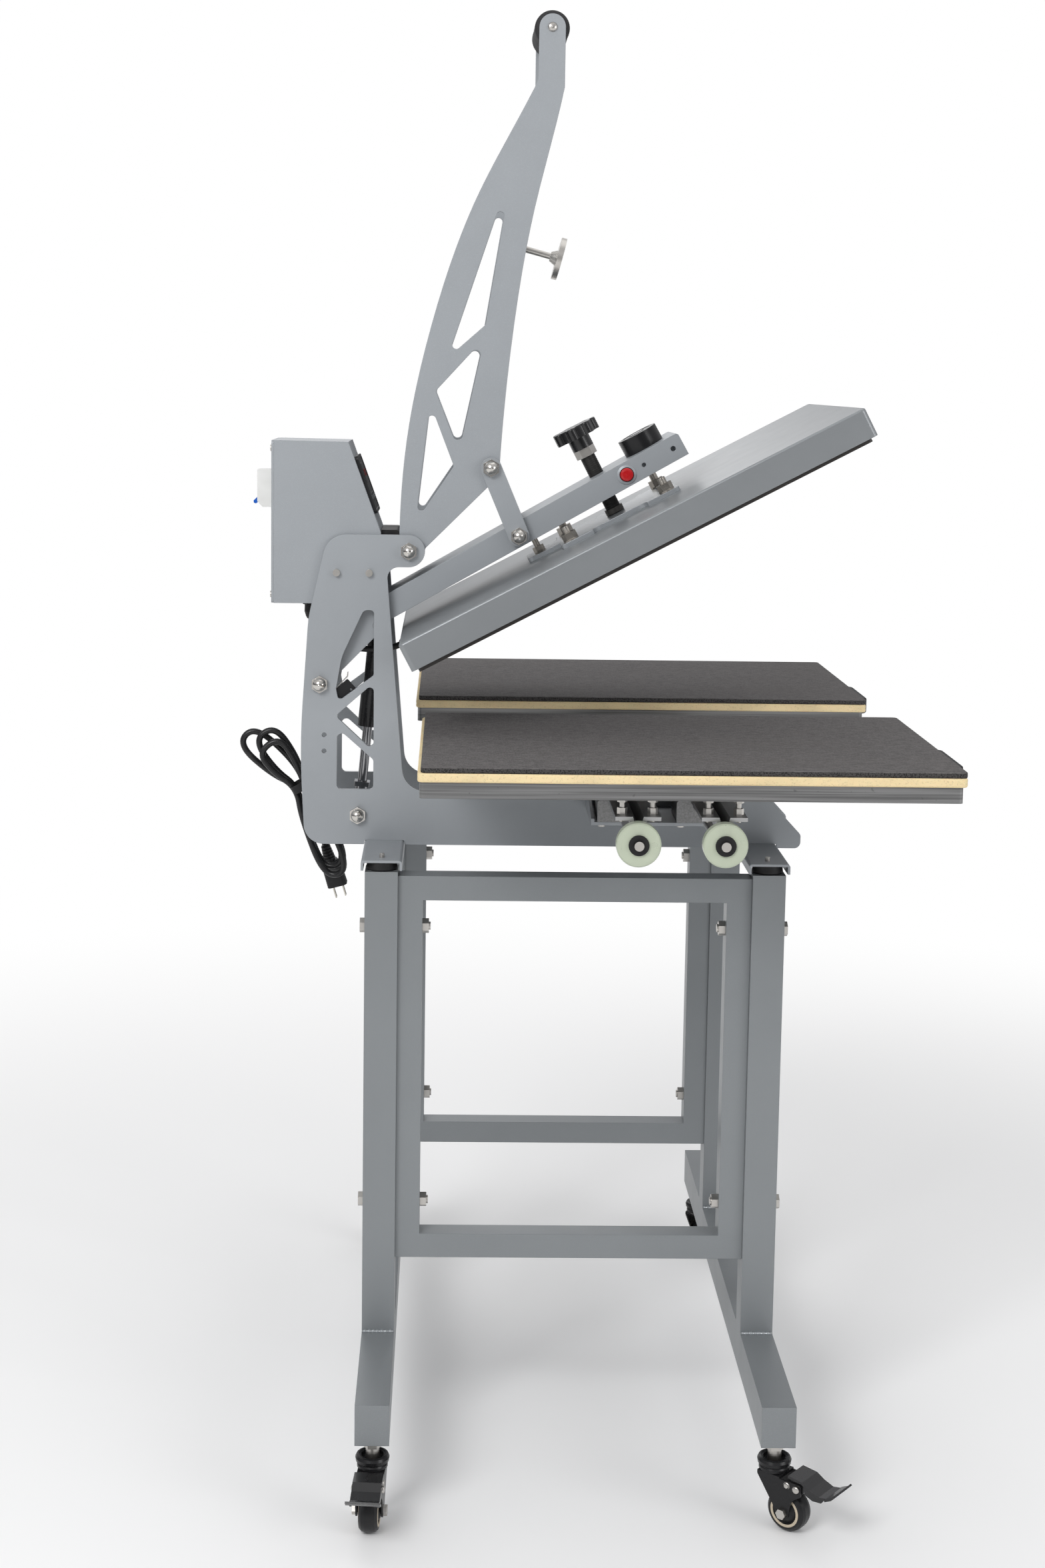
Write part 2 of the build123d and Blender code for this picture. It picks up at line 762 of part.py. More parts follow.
# Bearing blocks: four open linear bearings around the rods
with BuildPart() as bearing_blocks:
    for rail in rail_places:
        for side in (-1, 1):
            middle_y = head_y + side * (block_half_span - block_size[1] / 2)
            with BuildSketch(side_plane(middle_y, (rail, block_low))):
                with BuildLine():
                    half = block_size[0] / 2
                    FilletPolyline(
                        (-half, 0),
                        (half, 0),
                        (half, 25),
                        (half - 13, block_size[2]),
                        (13 - half, block_size[2]),
                        (-half, 25),
                        radius=[1, 1, 3, 3, 3, 3],
                        close=True,
                    )
                make_face()
                with Locations((0, rod_height - block_low)):
                    Circle(rod_radius + running_gap, mode=Mode.SUBTRACT)
                with Locations((0, block_size[2])):
                    Rectangle(18, 2 * (block_size[2] - rod_height + block_low), mode=Mode.SUBTRACT)
            extrude(amount=block_size[1] / 2, both=True)
            for dx in (-24, 24):
                for dy in (-20, 20):
                    hole = (rail + dx, middle_y + dy, bench_z + block_low - 1)
                    rod(hole, (0, 0, 1), 2.5 + bolt_gap, 13, Mode.SUBTRACT)
bearing_blocks.part.label = "bearing_blocks"
export_step(bearing_blocks.part, "parts/bearing_blocks.step")

# Stand fasteners: frame bolts, caster stems, buffer screws and the small screws of box and shelves
with BuildPart() as stand_fasteners:
    for side in (-1, 1):
        for end in (-1, 1):
            for rise in frame_bolt_rises:
                z = frame_low_z + rise
                outer = (side * (post_x + post_width / 2), end * frame_y, z)
                hexagon(outer, (side, 0, 0), frame_bolt_across, frame_bolt_head)
                reach = post_width + frame_tube + frame_nut_height + 2
                rod(outer, (-side, 0, 0), frame_bolt_radius, reach)
                inner = (side * (stile_face_x - frame_tube), end * frame_y, z)
                hole = frame_bolt_radius + seam
                hexagon(inner, (-side, 0, 0), frame_bolt_across, frame_nut_height, hole)
            stem = (side * post_x, end * stem_y, caster_height)
            hexagon(stem, (0, 0, -1), stem_nut_across, stem_nut_height)
            rod(stem, (0, 0, 1), stem_radius, 20)
            rod(stem, (0, 0, -1), stem_radius + 2, caster_height - race_top + stem_socket_depth - running_gap)
            foot = (side * post_x, end * post_y, cap_top_z)
            rod((foot[0], foot[1], foot[2] + 1), (0, 0, 1), 5.2, 3)
            rod((foot[0], foot[1], foot[2] + 1), (0, 0, 1), 3, rubber_foot_height + channel_wall + 4)
    for side in (-1, 1):
        for x, height in box_screw_places:
            face = (x, head_y + side * (plate_gap / 2 + plate_thickness), bench_z + height)
            rod(face, (0, side, 0), 4.5, 5)
            rod(face, (0, -side, 0), 2.6, plate_thickness + running_gap + box_wall + 6)
        for height in (box_low + 10, box_top - 10):
            face = (box_back_x - 3, head_y + side * 45, bench_z + height)
            rod(face, (-1, 0, 0), 4, 2.2)
            rod(face, (1, 0, 0), 2, 9)
        middle_y = head_y + side * (block_half_span - block_size[1] / 2)
        for rail in rail_places:
            for dx in (-24, 24):
                for dy in (-20, 20):
                    face = (rail + dx, middle_y + dy, bench_z + shelf_low)
                    rod(face, (0, 0, -1), 4.3, 3)
                    rod(face, (0, 0, 1), 2.5, shelf_thickness + 10)
stand_fasteners.part.label = "stand_fasteners"
export_step(stand_fasteners.part, "parts/stand_fasteners.step")


# Casters, drawn along their own trail (t) and then turned to their heading
def caster_side_plane(place_of_stem, turn, across=0.0):
    """Upright plane through a caster's stem, its x along the trail."""
    angle = math.radians(turn)
    trail = Vector(math.cos(angle), math.sin(angle), 0)
    normal = trail.cross(Vector(0, 0, 1))
    origin = Vector(*place_of_stem) + normal * across
    return Plane(origin=origin, x_dir=trail, z_dir=normal)


def caster_point(plane, t, z):
    """Point of the model from a caster's own sizes."""
    return plane.origin + plane.x_dir * t + Vector(0, 0, z)


for name, (side, end, turn) in caster_headings.items():
    stem_place = (side * post_x, end * stem_y, 0)
    middle = caster_side_plane(stem_place, turn)
    normal = middle.z_dir
    fork_half = fork_gap / 2 + fork_wall

    with BuildPart() as caster_fork:
        turned(
            stem_place,
            (0, 0, 1),
            [
                (stem_radius + 2 + running_gap, race_top - 6),
                (race_radius - 8, race_top - 6),
                (race_radius - 7, race_top - 1.5),
                (race_radius - 4, race_top),
                (race_radius - 1.5, race_top - 1),
                (race_radius, race_top - 4),
                (race_radius - 0.6, race_top - 8),
                (race_radius - 3, race_top - 10),
                (race_radius - 2, race_top - 12),
                (race_radius - 2, race_top - 15),
                (race_radius - 4, race_top - 17),
                (0, race_top - 17),
                (0, race_top - stem_socket_depth),
                (stem_radius + 2 + running_gap, race_top - stem_socket_depth),
            ],
        )
        for half in (-1, 1):
            cheek = middle.offset(half * (fork_gap / 2))
            with BuildSketch(cheek):
                with BuildLine():
                    FilletPolyline(
                        (-16, race_top - 16),
                        (20, race_top - 18),
                        (46, 66),
                        (46, 52),
                        (34, 44),
                        (29, 18),
                        (15, 18),
                        (9, 32),
                        radius=[3, 3, 3, 4, 14, 6, 6, 10],
                        close=True,
                    )
                make_face()
                with Locations(pedal_pivot):
                    Circle(3 + fit_gap, mode=Mode.SUBTRACT)
            extrude(amount=half * fork_wall)
        with BuildSketch(middle):
            with Locations((2, race_top - 17.5)):
                Rectangle(30, 3)
        extrude(amount=fork_half, both=True)
        axle_start = caster_point(middle, caster_trail, wheel_radius) - normal * fork_half
        rod(axle_start, normal, axle_radius, 2 * fork_half)
        for half in (-1, 1):
            face = caster_point(middle, caster_trail, wheel_radius) + normal * (half * fork_half)
            hexagon(face, normal * half, 11, 4.5)
            rivet = caster_point(middle, 27, 60) + normal * (half * fork_half)
            rod(rivet, normal * half, 3.6, 1.6)
    caster_fork.part.label = f"caster_fork_{name}"
    export_step(caster_fork.part, f"parts/caster_fork_{name}.step")

    with BuildPart() as caster_wheel:
        wheel_face = caster_point(middle, caster_trail, wheel_radius) - normal * (wheel_width / 2)
        turned(
            wheel_face,
            normal,
            [
                (rim_radius + seam, 0),
                (wheel_radius - 4, 0),
                (wheel_radius - 1, 3),
                (wheel_radius, 7),
                (wheel_radius, wheel_width - 7),
                (wheel_radius - 1, wheel_width - 3),
                (wheel_radius - 4, wheel_width),
                (rim_radius + seam, wheel_width),
            ],
        )
        turned(
            wheel_face,
            normal,
            [
                (axle_radius + fit_gap, -2),
                (hub_radius - 6, -2),
                (hub_radius, 2.5),
                (hub_radius + 1.5, 0.5),
                (rim_radius, 0),
                (rim_radius, wheel_width),
                (hub_radius + 1.5, wheel_width - 0.5),
                (hub_radius, wheel_width - 2.5),
                (hub_radius - 6, wheel_width + 2),
                (axle_radius + fit_gap, wheel_width + 2),
            ],
        )
    caster_wheel.part.label = f"caster_wheel_{name}"
    export_step(caster_wheel.part, f"parts/caster_wheel_{name}.step")

    with BuildPart() as caster_pedal:
        with BuildSketch(middle):
            with BuildLine():
                Polyline(
                    (29, 73.5), (48, 71.5), (58, 65.5), (70, 61), (80, 63),
                    (80.5, 60.2), (70, 58), (57, 62.5), (47, 68.8), (29, 70.8),
                    close=True,
                )
            make_face()
        extrude(amount=fork_half + 1, both=True)
        with BuildSketch(middle):
            with BuildLine():
                Polyline((79, 62.5), (87, 66.5), (91, 70.5), (92.5, 68.8), (88, 64.2), (79.5, 60), close=True)
            make_face()
        extrude(amount=fork_half + 4, both=True)
        for half in (-1, 1):
            with BuildSketch(middle.offset(half * (fork_half + 1))):
                with BuildLine():
                    FilletPolyline(
                        (49, 70), (58, 65), (70, 60.5), (78, 61.5), (74, 55), (62, 54), (52, 58),
                        radius=[1, 1, 1, 2, 3, 3, 3],
                        close=True,
                    )
                make_face()
            extrude(amount=-half * 2.2)
        with BuildSketch(middle):
            with BuildLine():
                FilletPolyline(
                    (31, 72), (47, 70), (52, 62), (45, 53), (36, 53), (31, 62),
                    radius=[1, 2, 4, 4, 4, 3],
                    close=True,
                )
            make_face()
        extrude(amount=fork_gap / 2 - 0.5, both=True)
        pin_start = caster_point(middle, *pedal_pivot) - normal * (fork_half + 1.6)
        rod(pin_start, normal, 3, 2 * fork_half + 3.2)
        for half in (-1, 1):
            face = caster_point(middle, *pedal_pivot) + normal * (half * (fork_half + 0.3))
            rod(face, normal * half, 4, 1.4)
    caster_pedal.part.label = f"caster_pedal_{name}"
    export_step(caster_pedal.part, f"parts/caster_pedal_{name}.step")


# Gas spring: rod on the tie rod, cylinder towards the arm
gas_top = arm_point(gas_pin[0], gas_pin[1], head_y)
gas_rise = (gas_top[0] - tie_point[0], gas_top[2] - bench_z - tie_point[1])
gas_length = math.hypot(*gas_rise)
gas_tilt = math.degrees(math.atan2(gas_rise[1], gas_rise[0]))
gas_way = heading(gas_tilt)


def gas_point(along, y=head_y):
    """Point of the model at a distance from the tie rod on the spring's axis."""
    return place(tie_point, gas_tilt, along, 0, y)


with BuildPart() as gas_spring_rod:
    rod(gas_point(0, head_y - 9), far_way, 13, 18)
    rod(gas_point(0), gas_way, 8, 30)
    with BuildSketch(Plane(origin=gas_point(26), x_dir=(0, 1, 0), z_dir=gas_way)):
        RectangleRounded(20, 20, 2)
    extrude(amount=6)
    rod(gas_point(30), gas_way, gas_rod_radius, gas_tube_start + 4)
    rod(gas_point(0, head_y - 10), far_way, handle_shaft_radius + fit_gap, 20, Mode.SUBTRACT)
gas_spring_rod.part.label = "gas_spring_rod"
export_step(gas_spring_rod.part, "parts/gas_spring_rod.step")

gas_eye_radius = 12.5
with BuildPart() as gas_spring_cylinder:
    tube_length = gas_length - gas_tube_start - gas_eye_radius + 2
    rod(gas_point(gas_tube_start), gas_way, gas_tube_radius, tube_length)
    rod(gas_point(gas_tube_start), gas_way, gas_sleeve_radius, gas_sleeve_length)
    rod(gas_point(gas_length, head_y - 8), far_way, gas_eye_radius, 16)
    rod(gas_point(gas_tube_start), gas_way, gas_rod_radius + running_gap, 84, Mode.SUBTRACT)
    rod(gas_point(gas_length, head_y - 9), far_way, gas_pin_radius + 3.5, 18, Mode.SUBTRACT)
gas_spring_cylinder.part.label = "gas_spring_cylinder"
export_step(gas_spring_cylinder.part, "parts/gas_spring_cylinder.step")


# Arm: channel with cheeks down to the pivot, web, end plate, bearing tube and screw block
def arm_plane(y):
    """Upright plane at one Y with its x along the arm."""
    return side_plane(y, arm_pivot, arm_tilt)


def screw_cut(radius):
    """Clear the line of the pressure screw through the arm."""
    rod(platen_point(screw_p, 30, head_y), platen_up, radius, 60, Mode.SUBTRACT)


with BuildPart() as arm_beam:
    for outer_y in (head_y - arm_width / 2 + arm_wall, head_y + arm_width / 2):
        with BuildSketch(arm_plane(outer_y)):
            with BuildLine():
                FilletPolyline(
                    (-16, -9), (33.6, 0.8), (87, 16.3), (112, arm_low), (arm_front, arm_low),
                    (arm_front, arm_top), (arm_rear, arm_top), (-9, 16),
                    radius=[12, 20, 20, 6, 0, 4, 8, 12],
                    close=True,
                )
            make_face()
            Circle(bearing_radius)
        extrude(amount=arm_wall)
    with BuildSketch(arm_plane(head_y)):
        with BuildLine():
            FilletPolyline(
                (arm_rear + 4, arm_top), (arm_front, arm_top), (arm_front, arm_low),
                (arm_front - arm_wall, arm_low), (arm_front - arm_wall, arm_top - arm_wall),
                (arm_rear + 4, arm_top - arm_wall),
                radius=[0, 4, 0, 0, 2, 0],
                close=True,
            )
        make_face()
    extrude(amount=arm_width / 2, both=True)
    with BuildSketch(arm_plane(head_y)):
        with Locations((screw_p + 1, (arm_low + arm_top - arm_wall) / 2)):
            Rectangle(40, arm_top - arm_wall - arm_low)
    extrude(amount=arm_width / 2 - 1, both=True)
    rod(arm_point(0, 0, head_y - arm_width / 2), far_way, bearing_radius, arm_width)
    bore = (arm_pivot[0], head_y - arm_width, bench_z + arm_pivot[1])
    rod(bore, far_way, arm_shaft_radius + fit_gap, 2 * arm_width, Mode.SUBTRACT)
    screw_cut(thread_radius + running_gap)
    near_face = head_y - arm_width / 2
    button_hole = arm_point(button_u, (arm_low + arm_top) / 2, near_face - 1)
    rod(button_hole, far_way, button_radius + 1.4 + bolt_gap, arm_wall + 2, Mode.SUBTRACT)
    for u, radius in ((527.0, 3.3), (485.6, 2.75)):
        small_hole = arm_point(u, (arm_low + arm_top) / 2, near_face - 1)
        rod(small_hole, far_way, radius, arm_wall + 2, Mode.SUBTRACT)
    for side in (-1, 1):
        pin_hole = arm_point(gas_pin[0], gas_pin[1], head_y + side * (arm_width / 2 + 1))
        hole_length = arm_wall + 2
        rod(pin_hole, (0, -side, 0), gas_pin_radius + bolt_gap, hole_length, Mode.SUBTRACT)
    pin_start = arm_point(gas_pin[0], gas_pin[1], near_face + seam)
    rod(pin_start, far_way, gas_pin_radius, arm_width - 2 * seam)
arm_beam.part.label = "arm_beam"
export_step(arm_beam.part, "parts/arm_beam.step")

# Electromagnet: pot and coil ring on the arm
with BuildPart() as electromagnet:
    turned(
        arm_point(magnet_u, arm_top, head_y),
        arm_up,
        [
            (0, 0),
            (magnet_radius, 0),
            (magnet_radius, magnet_height - 0.8),
            (magnet_radius - 0.8, magnet_height),
            (19, magnet_height),
            (19, 6),
            (10, 6),
            (10, magnet_height),
            (0, magnet_height),
        ],
    )
    turned(
        arm_point(magnet_u, arm_top, head_y),
        arm_up,
        [(10 + seam, 6 + seam), (19 - seam, 6 + seam), (19 - seam, magnet_height - 0.5), (10 + seam, magnet_height - 0.5)],
    )
electromagnet.part.label = "electromagnet"
export_step(electromagnet.part, "parts/electromagnet.step")

# Push button in its housing on the near side of the arm
button_middle = arm_point(button_u, (arm_low + arm_top) / 2, head_y - arm_width / 2)
button_travel = 3.0
with BuildPart() as button_housing:
    turned(
        button_middle,
        near_way,
        [
            (button_radius + running_gap, 2.4),
            (button_radius + 3.8, 1.2),
            (button_radius + 3.8, 0),
            (button_radius + 1.4, 0),
            (button_radius + 1.4, -16),
            (0, -16),
            (0, -14),
            (button_radius + running_gap, -14),
        ],
    )
button_housing.part.label = "button_housing"
export_step(button_housing.part, "parts/button_housing.step")

with BuildPart() as push_button:
    turned(
        button_middle,
        near_way,
        [
            (0, 5.4),
            (button_radius - 3, 5.3),
            (button_radius - 0.8, 4.8),
            (button_radius, 4),
            (button_radius, -14 + button_travel + running_gap),
            (0, -14 + button_travel + running_gap),
        ],
    )
push_button.part.label = "push_button"
export_step(push_button.part, "parts/push_button.step")

# Platen cover: pressed sheet box, open below
platen_high = platen_low + platen_size[2]
platen_top_plane = Plane(
    origin=platen_point(screw_p, platen_high, head_y), x_dir=heading(platen_tilt), z_dir=platen_up
)
bolt_spread = (133.0, 120.0)
guide_p = -107.5
lead_y = -29.0
lead_depth = 17.0
with BuildPart() as platen_cover:
    with BuildSketch(platen_top_plane):
        RectangleRounded(platen_size[0], platen_size[1], 6)
    extrude(amount=-platen_size[2])
    top_face = platen_cover.faces().sort_by(Axis(platen_top_plane.origin, platen_up))[-1]
    fillet(top_face.edges(), radius=3)
    with BuildSketch(platen_top_plane.offset(-cover_wall)):
        RectangleRounded(platen_size[0] - 2 * cover_wall, platen_size[1] - 2 * cover_wall, 4)
    extrude(amount=-platen_size[2], mode=Mode.SUBTRACT)
    with BuildSketch(platen_top_plane.offset(1)):
        with GridLocations(bolt_spread[0], bolt_spread[1], 2, 2):
            Circle(5 + bolt_gap)
    extrude(amount=-cover_wall - 2, mode=Mode.SUBTRACT)
    lead_hole = tuple(
        platen_top_plane.from_local_coords((-platen_size[0] / 2 - 1, lead_y, -lead_depth))
    )
    rod(lead_hole, platen_front, 5, cover_wall + 2, Mode.SUBTRACT)
platen_cover.part.label = "platen_cover"
export_step(platen_cover.part, "parts/platen_cover.step")

# Heating plate: thick plate in the mouth of the cover
plate_low_depth = platen_size[2] + plate_drop
plate_high_depth = plate_low_depth - plate_size[2]
with BuildPart() as heating_plate:
    with BuildSketch(platen_top_plane.offset(-plate_low_depth)):
        RectangleRounded(plate_size[0], plate_size[1], 4)
    extrude(amount=plate_size[2])
    with BuildSketch(platen_top_plane.offset(-plate_high_depth)):
        with GridLocations(bolt_spread[0], bolt_spread[1], 2, 2):
            Circle(5 + bolt_gap)
    extrude(amount=-9, mode=Mode.SUBTRACT)
heating_plate.part.label = "heating_plate"
export_step(heating_plate.part, "parts/heating_plate.step")

# Heater element: two bent tubes that lie on the plate
heater_radius = 4.0
with BuildPart() as heater_element:
    heater_plane = platen_top_plane.offset(-plate_high_depth + heater_radius + 0.1)
    for half_x, half_y in ((270.0, 165.0), (220.0, 115.0)):
        corners = [
            (-half_x, -15), (-half_x, -half_y), (half_x, -half_y),
            (half_x, half_y), (-half_x, half_y), (-half_x, 15),
        ]
        with BuildLine(heater_plane) as heater_path:
            FilletPolyline(*corners, radius=[30, 30, 30, 30])
        with BuildSketch(heater_path.line ^ 0):
            Circle(heater_radius)
        sweep(path=heater_path.line)
heater_element.part.label = "heater_element"
export_step(heater_element.part, "parts/heater_element.step")

# Suspension plate with its tongue, on the cover
with BuildPart() as suspension_plate:
    with BuildSketch(platen_top_plane):
        Rectangle(suspension_size[0], suspension_size[1])
        with Locations((-suspension_size[0] / 2 - tongue_length / 2, 0)):
            Rectangle(tongue_length, tongue_width)
        with Locations((0, -suspension_size[1] / 2), (0, suspension_size[1] / 2)):
            SlotCenterToCenter(suspension_size[0] * 0.3, 26, mode=Mode.SUBTRACT)
        Circle(6.6, mode=Mode.SUBTRACT)
        with GridLocations(bolt_spread[0], bolt_spread[1], 2, 2):
            Circle(5 + bolt_gap, mode=Mode.SUBTRACT)
        with Locations((guide_p, 0)):
            Circle(4 + bolt_gap, mode=Mode.SUBTRACT)
    extrude(amount=suspension_size[2])
    upright_edges = suspension_plate.edges().filter_by(GeomType.LINE).filter_by(
        lambda edge: abs(edge.length - suspension_size[2]) < 0.01
    )
    outer_edges = upright_edges.sort_by_distance(platen_top_plane.origin)[-8:]
    fillet(outer_edges, radius=6)
suspension_plate.part.label = "suspension_plate"
export_step(suspension_plate.part, "parts/suspension_plate.step")

# Suspension bolts: four through the cover into the plate, and the guide stud on the tongue
suspension_high = suspension_size[2]
with BuildPart() as suspension_bolts:
    for dx in (-bolt_spread[0] / 2, bolt_spread[0] / 2):
        for dy in (-bolt_spread[1] / 2, bolt_spread[1] / 2):
            seat = tuple(platen_top_plane.from_local_coords((dx, dy, suspension_high)))
            rod(seat, platen_up, 10, 1.6)
            hexagon(seat, platen_up, 17, 10)
            rod(seat, platen_up, 5, 18)
            rod(seat, platen_down, 5, suspension_high + plate_high_depth + 8)
    seat = tuple(platen_top_plane.from_local_coords((guide_p, 0, suspension_high)))
    hexagon(seat, platen_up, 13, 7)
    rod(seat, platen_up, 4, 26)
    rod(seat, platen_down, 4, suspension_high - seam)
suspension_bolts.part.label = "suspension_bolts"
export_step(suspension_bolts.part, "parts/suspension_bolts.step")

# Pressure foot: flange and pin that carry the platen
foot_low = platen_high + suspension_high + 0.5
with BuildPart() as pressure_foot:
    turned(
        platen_point(screw_p, 0, head_y),
        platen_up,
        [
            (0, platen_high + 0.6),
            (6, platen_high + 0.6),
            (6, foot_low),
            (foot_radius, foot_low),
            (foot_radius, foot_low + foot_thickness),
            (0, foot_low + foot_thickness),
        ],
    )
pressure_foot.part.label = "pressure_foot"
export_step(pressure_foot.part, "parts/pressure_foot.step")

# Pressure screw: thread up through the arm, lock nut and hub
screw_low = foot_low + foot_thickness + 0.1
screw_nut_q = 97.4
hub_q = screw_nut_q + 11
knob_q = hub_q + 15
with BuildPart() as pressure_screw:
    rod(platen_point(screw_p, screw_low, head_y), platen_up, thread_radius, screw_nut_q - screw_low)
    hexagon(platen_point(screw_p, screw_nut_q, head_y), platen_up, 24, 11)
    rod(platen_point(screw_p, hub_q, head_y), platen_up, 6, 17)
pressure_screw.part.label = "pressure_screw"
export_step(pressure_screw.part, "parts/pressure_screw.step")

# Star knob with six lobes on its hub
knob_plane = Plane(
    origin=platen_point(screw_p, knob_q, head_y), x_dir=heading(platen_tilt), z_dir=platen_up
)
with BuildPart() as star_knob:
    with BuildSketch(knob_plane):
        Circle(knob_radius - 5)
        with PolarLocations(knob_radius - 7, 7):
            Circle(7)
        with PolarLocations(knob_radius + 2, 7, start_angle=180 / 7):
            Circle(6.5, mode=Mode.SUBTRACT)
    extrude(amount=knob_height)
    rim = star_knob.faces().sort_by(Axis(knob_plane.origin, platen_up))[-1].outer_wire().edges()
    fillet(rim, radius=2)
    rod(platen_point(screw_p, hub_q, head_y), platen_up, 14, 15)
    rod(platen_point(screw_p, hub_q - 1, head_y), platen_up, 6 + seam, 19, Mode.SUBTRACT)
star_knob.part.label = "star_knob"
export_step(star_knob.part, "parts/star_knob.step")

# Platen lead: gland in the cover's rear wall and the short cable up into the arm
lead_x = -platen_size[0] / 2
gland_step = 9.0
with BuildPart() as platen_lead:
    lead_base = tuple(platen_top_plane.from_local_coords((lead_x, lead_y, -lead_depth)))
    rod(lead_base, platen_rear, 7.5, 4)
    rod(lead_base, platen_front, 4.8, 6)
    rod(lead_base, platen_rear, 5.5, gland_step)
    with BuildLine(platen_top_plane) as lead_path:
        FilletPolyline(
            (lead_x - gland_step - seam, lead_y, -lead_depth),
            (lead_x - gland_step - 9, lead_y, -lead_depth),
            (lead_x - gland_step - 24, lead_y - 1, 6 - lead_depth),
            (lead_x - gland_step - 45, lead_y + 1, 15 - lead_depth),
            (lead_x - gland_step - 62, lead_y + 4, 28 - lead_depth),
            radius=[20, 40, 40],
        )
    with BuildSketch(lead_path.line ^ 0):
        Circle(4)
    sweep(path=lead_path.line)
platen_lead.part.label = "platen_lead"
export_step(platen_lead.part, "parts/platen_lead.step")


# Handle: two cut-out plates with hub tube and crossbar
def rounded_window(points, radius):
    """Window as the outline around equal circles at its corners."""
    with BuildSketch(mode=Mode.PRIVATE) as window:
        with BuildLine():
            Polyline(*points, close=True)
        make_face()
        offset(amount=radius, kind=Kind.ARC)
    return window.sketch


def handle_outline(y):
    """Outline of a handle plate with its windows and holes, on one Y plane."""
    pivot_x, pivot_h = handle_pivot
    corner = handle_end_radius * math.sqrt(0.5)
    rear_low = (pivot_x - handle_end_radius, pivot_h)
    front_low = (pivot_x + corner, pivot_h - corner)
    tab = 16.0
    tab_left = (grip_center[0] - tab, grip_center[1])
    tab_right = (grip_center[0] + tab, grip_center[1])
    with BuildSketch(side_plane(y)) as outline:
        with BuildLine():
            Line(rear_low, (pivot_x - 12.1, 387))
            Spline(
                (pivot_x - 12.1, 387), (-212, 498), (-182.7, 642), (-130, 795), (-58.2, 933.7),
                tangents=((0.02, 1), (0.45, 0.89)),
            )
            Polyline((-58.2, 933.7), (tab_left[0], 942), tab_left)
            ThreePointArc(tab_left, (grip_center[0], grip_center[1] + tab), tab_right)
            Line(tab_right, (tab_right[0], 931))
            Spline(
                (tab_right[0], 931), (-57.1, 788), (-81, 643), (-95.3, 487),
                tangents=((-0.2, -1), (-0.06, -1)),
            )
            Polyline((-95.3, 487), (front_low[0] + 102.3, front_low[1] + 102.3), front_low)
            ThreePointArc(front_low, (pivot_x - corner, pivot_h - corner), rear_low)
        make_face()
        elbow = outline.vertices().sort_by_distance((front_low[0] + 102.3, front_low[1] + 102.3))[0]
        fillet(elbow, radius=14)
        for window, radius in (
            (((-99.5, 776.5), (-151.5, 619.5), (-120.5, 647)), 5),
            (((-127.5, 607.5), (-169.5, 561.5), (-148.5, 509)), 6),
            (((-180.5, 527.5), (-158.5, 471), (-192.5, 420)), 5),
        ):
            add(rounded_window(window, radius), mode=Mode.SUBTRACT)
        with Locations(link_top):
            Circle(shaft_bolt_radius + fit_gap, mode=Mode.SUBTRACT)
        with Locations(grip_center):
            Circle(4 + bolt_gap, mode=Mode.SUBTRACT)
    return outline.sketch


crossbar_normal = heading(armature_tilt)
with BuildPart() as handle_frame:
    for outer_y in (head_y - handle_gap / 2, head_y + handle_gap / 2 + handle_wall):
        extrude(handle_outline(outer_y), amount=handle_wall)
    hub_start = (handle_pivot[0], head_y - handle_gap / 2 - handle_wall, bench_z + handle_pivot[1])
    rod(hub_start, far_way, handle_hub_radius, handle_gap + 2 * handle_wall)
    crossbar_plane = side_plane(head_y, crossbar_center, armature_tilt)
    with BuildSketch(crossbar_plane):
        Rectangle(crossbar_size[1], crossbar_size[0])
    extrude(amount=handle_gap / 2, both=True)
    rod(hub_start, far_way, handle_shaft_radius + fit_gap, handle_gap + 2 * handle_wall, Mode.SUBTRACT)
    crossbar_hole = place(crossbar_center, armature_tilt, -5, 0, head_y)
    rod(crossbar_hole, crossbar_normal, 4 + bolt_gap, 10, Mode.SUBTRACT)
handle_frame.part.label = "handle_frame"
export_step(handle_frame.part, "parts/handle_frame.step")

# Grip between the handle plates
with BuildPart() as grip:
    turned(
        (grip_center[0], head_y - handle_gap / 2, bench_z + grip_center[1]),
        far_way,
        [
            (4 + bolt_gap, 0),
            (grip_radius - 3, 0),
            (grip_radius, 3),
            (grip_radius, handle_gap - 3),
            (grip_radius - 3, handle_gap),
            (4 + bolt_gap, handle_gap),
        ],
    )
grip.part.label = "grip"
export_step(grip.part, "parts/grip.step")

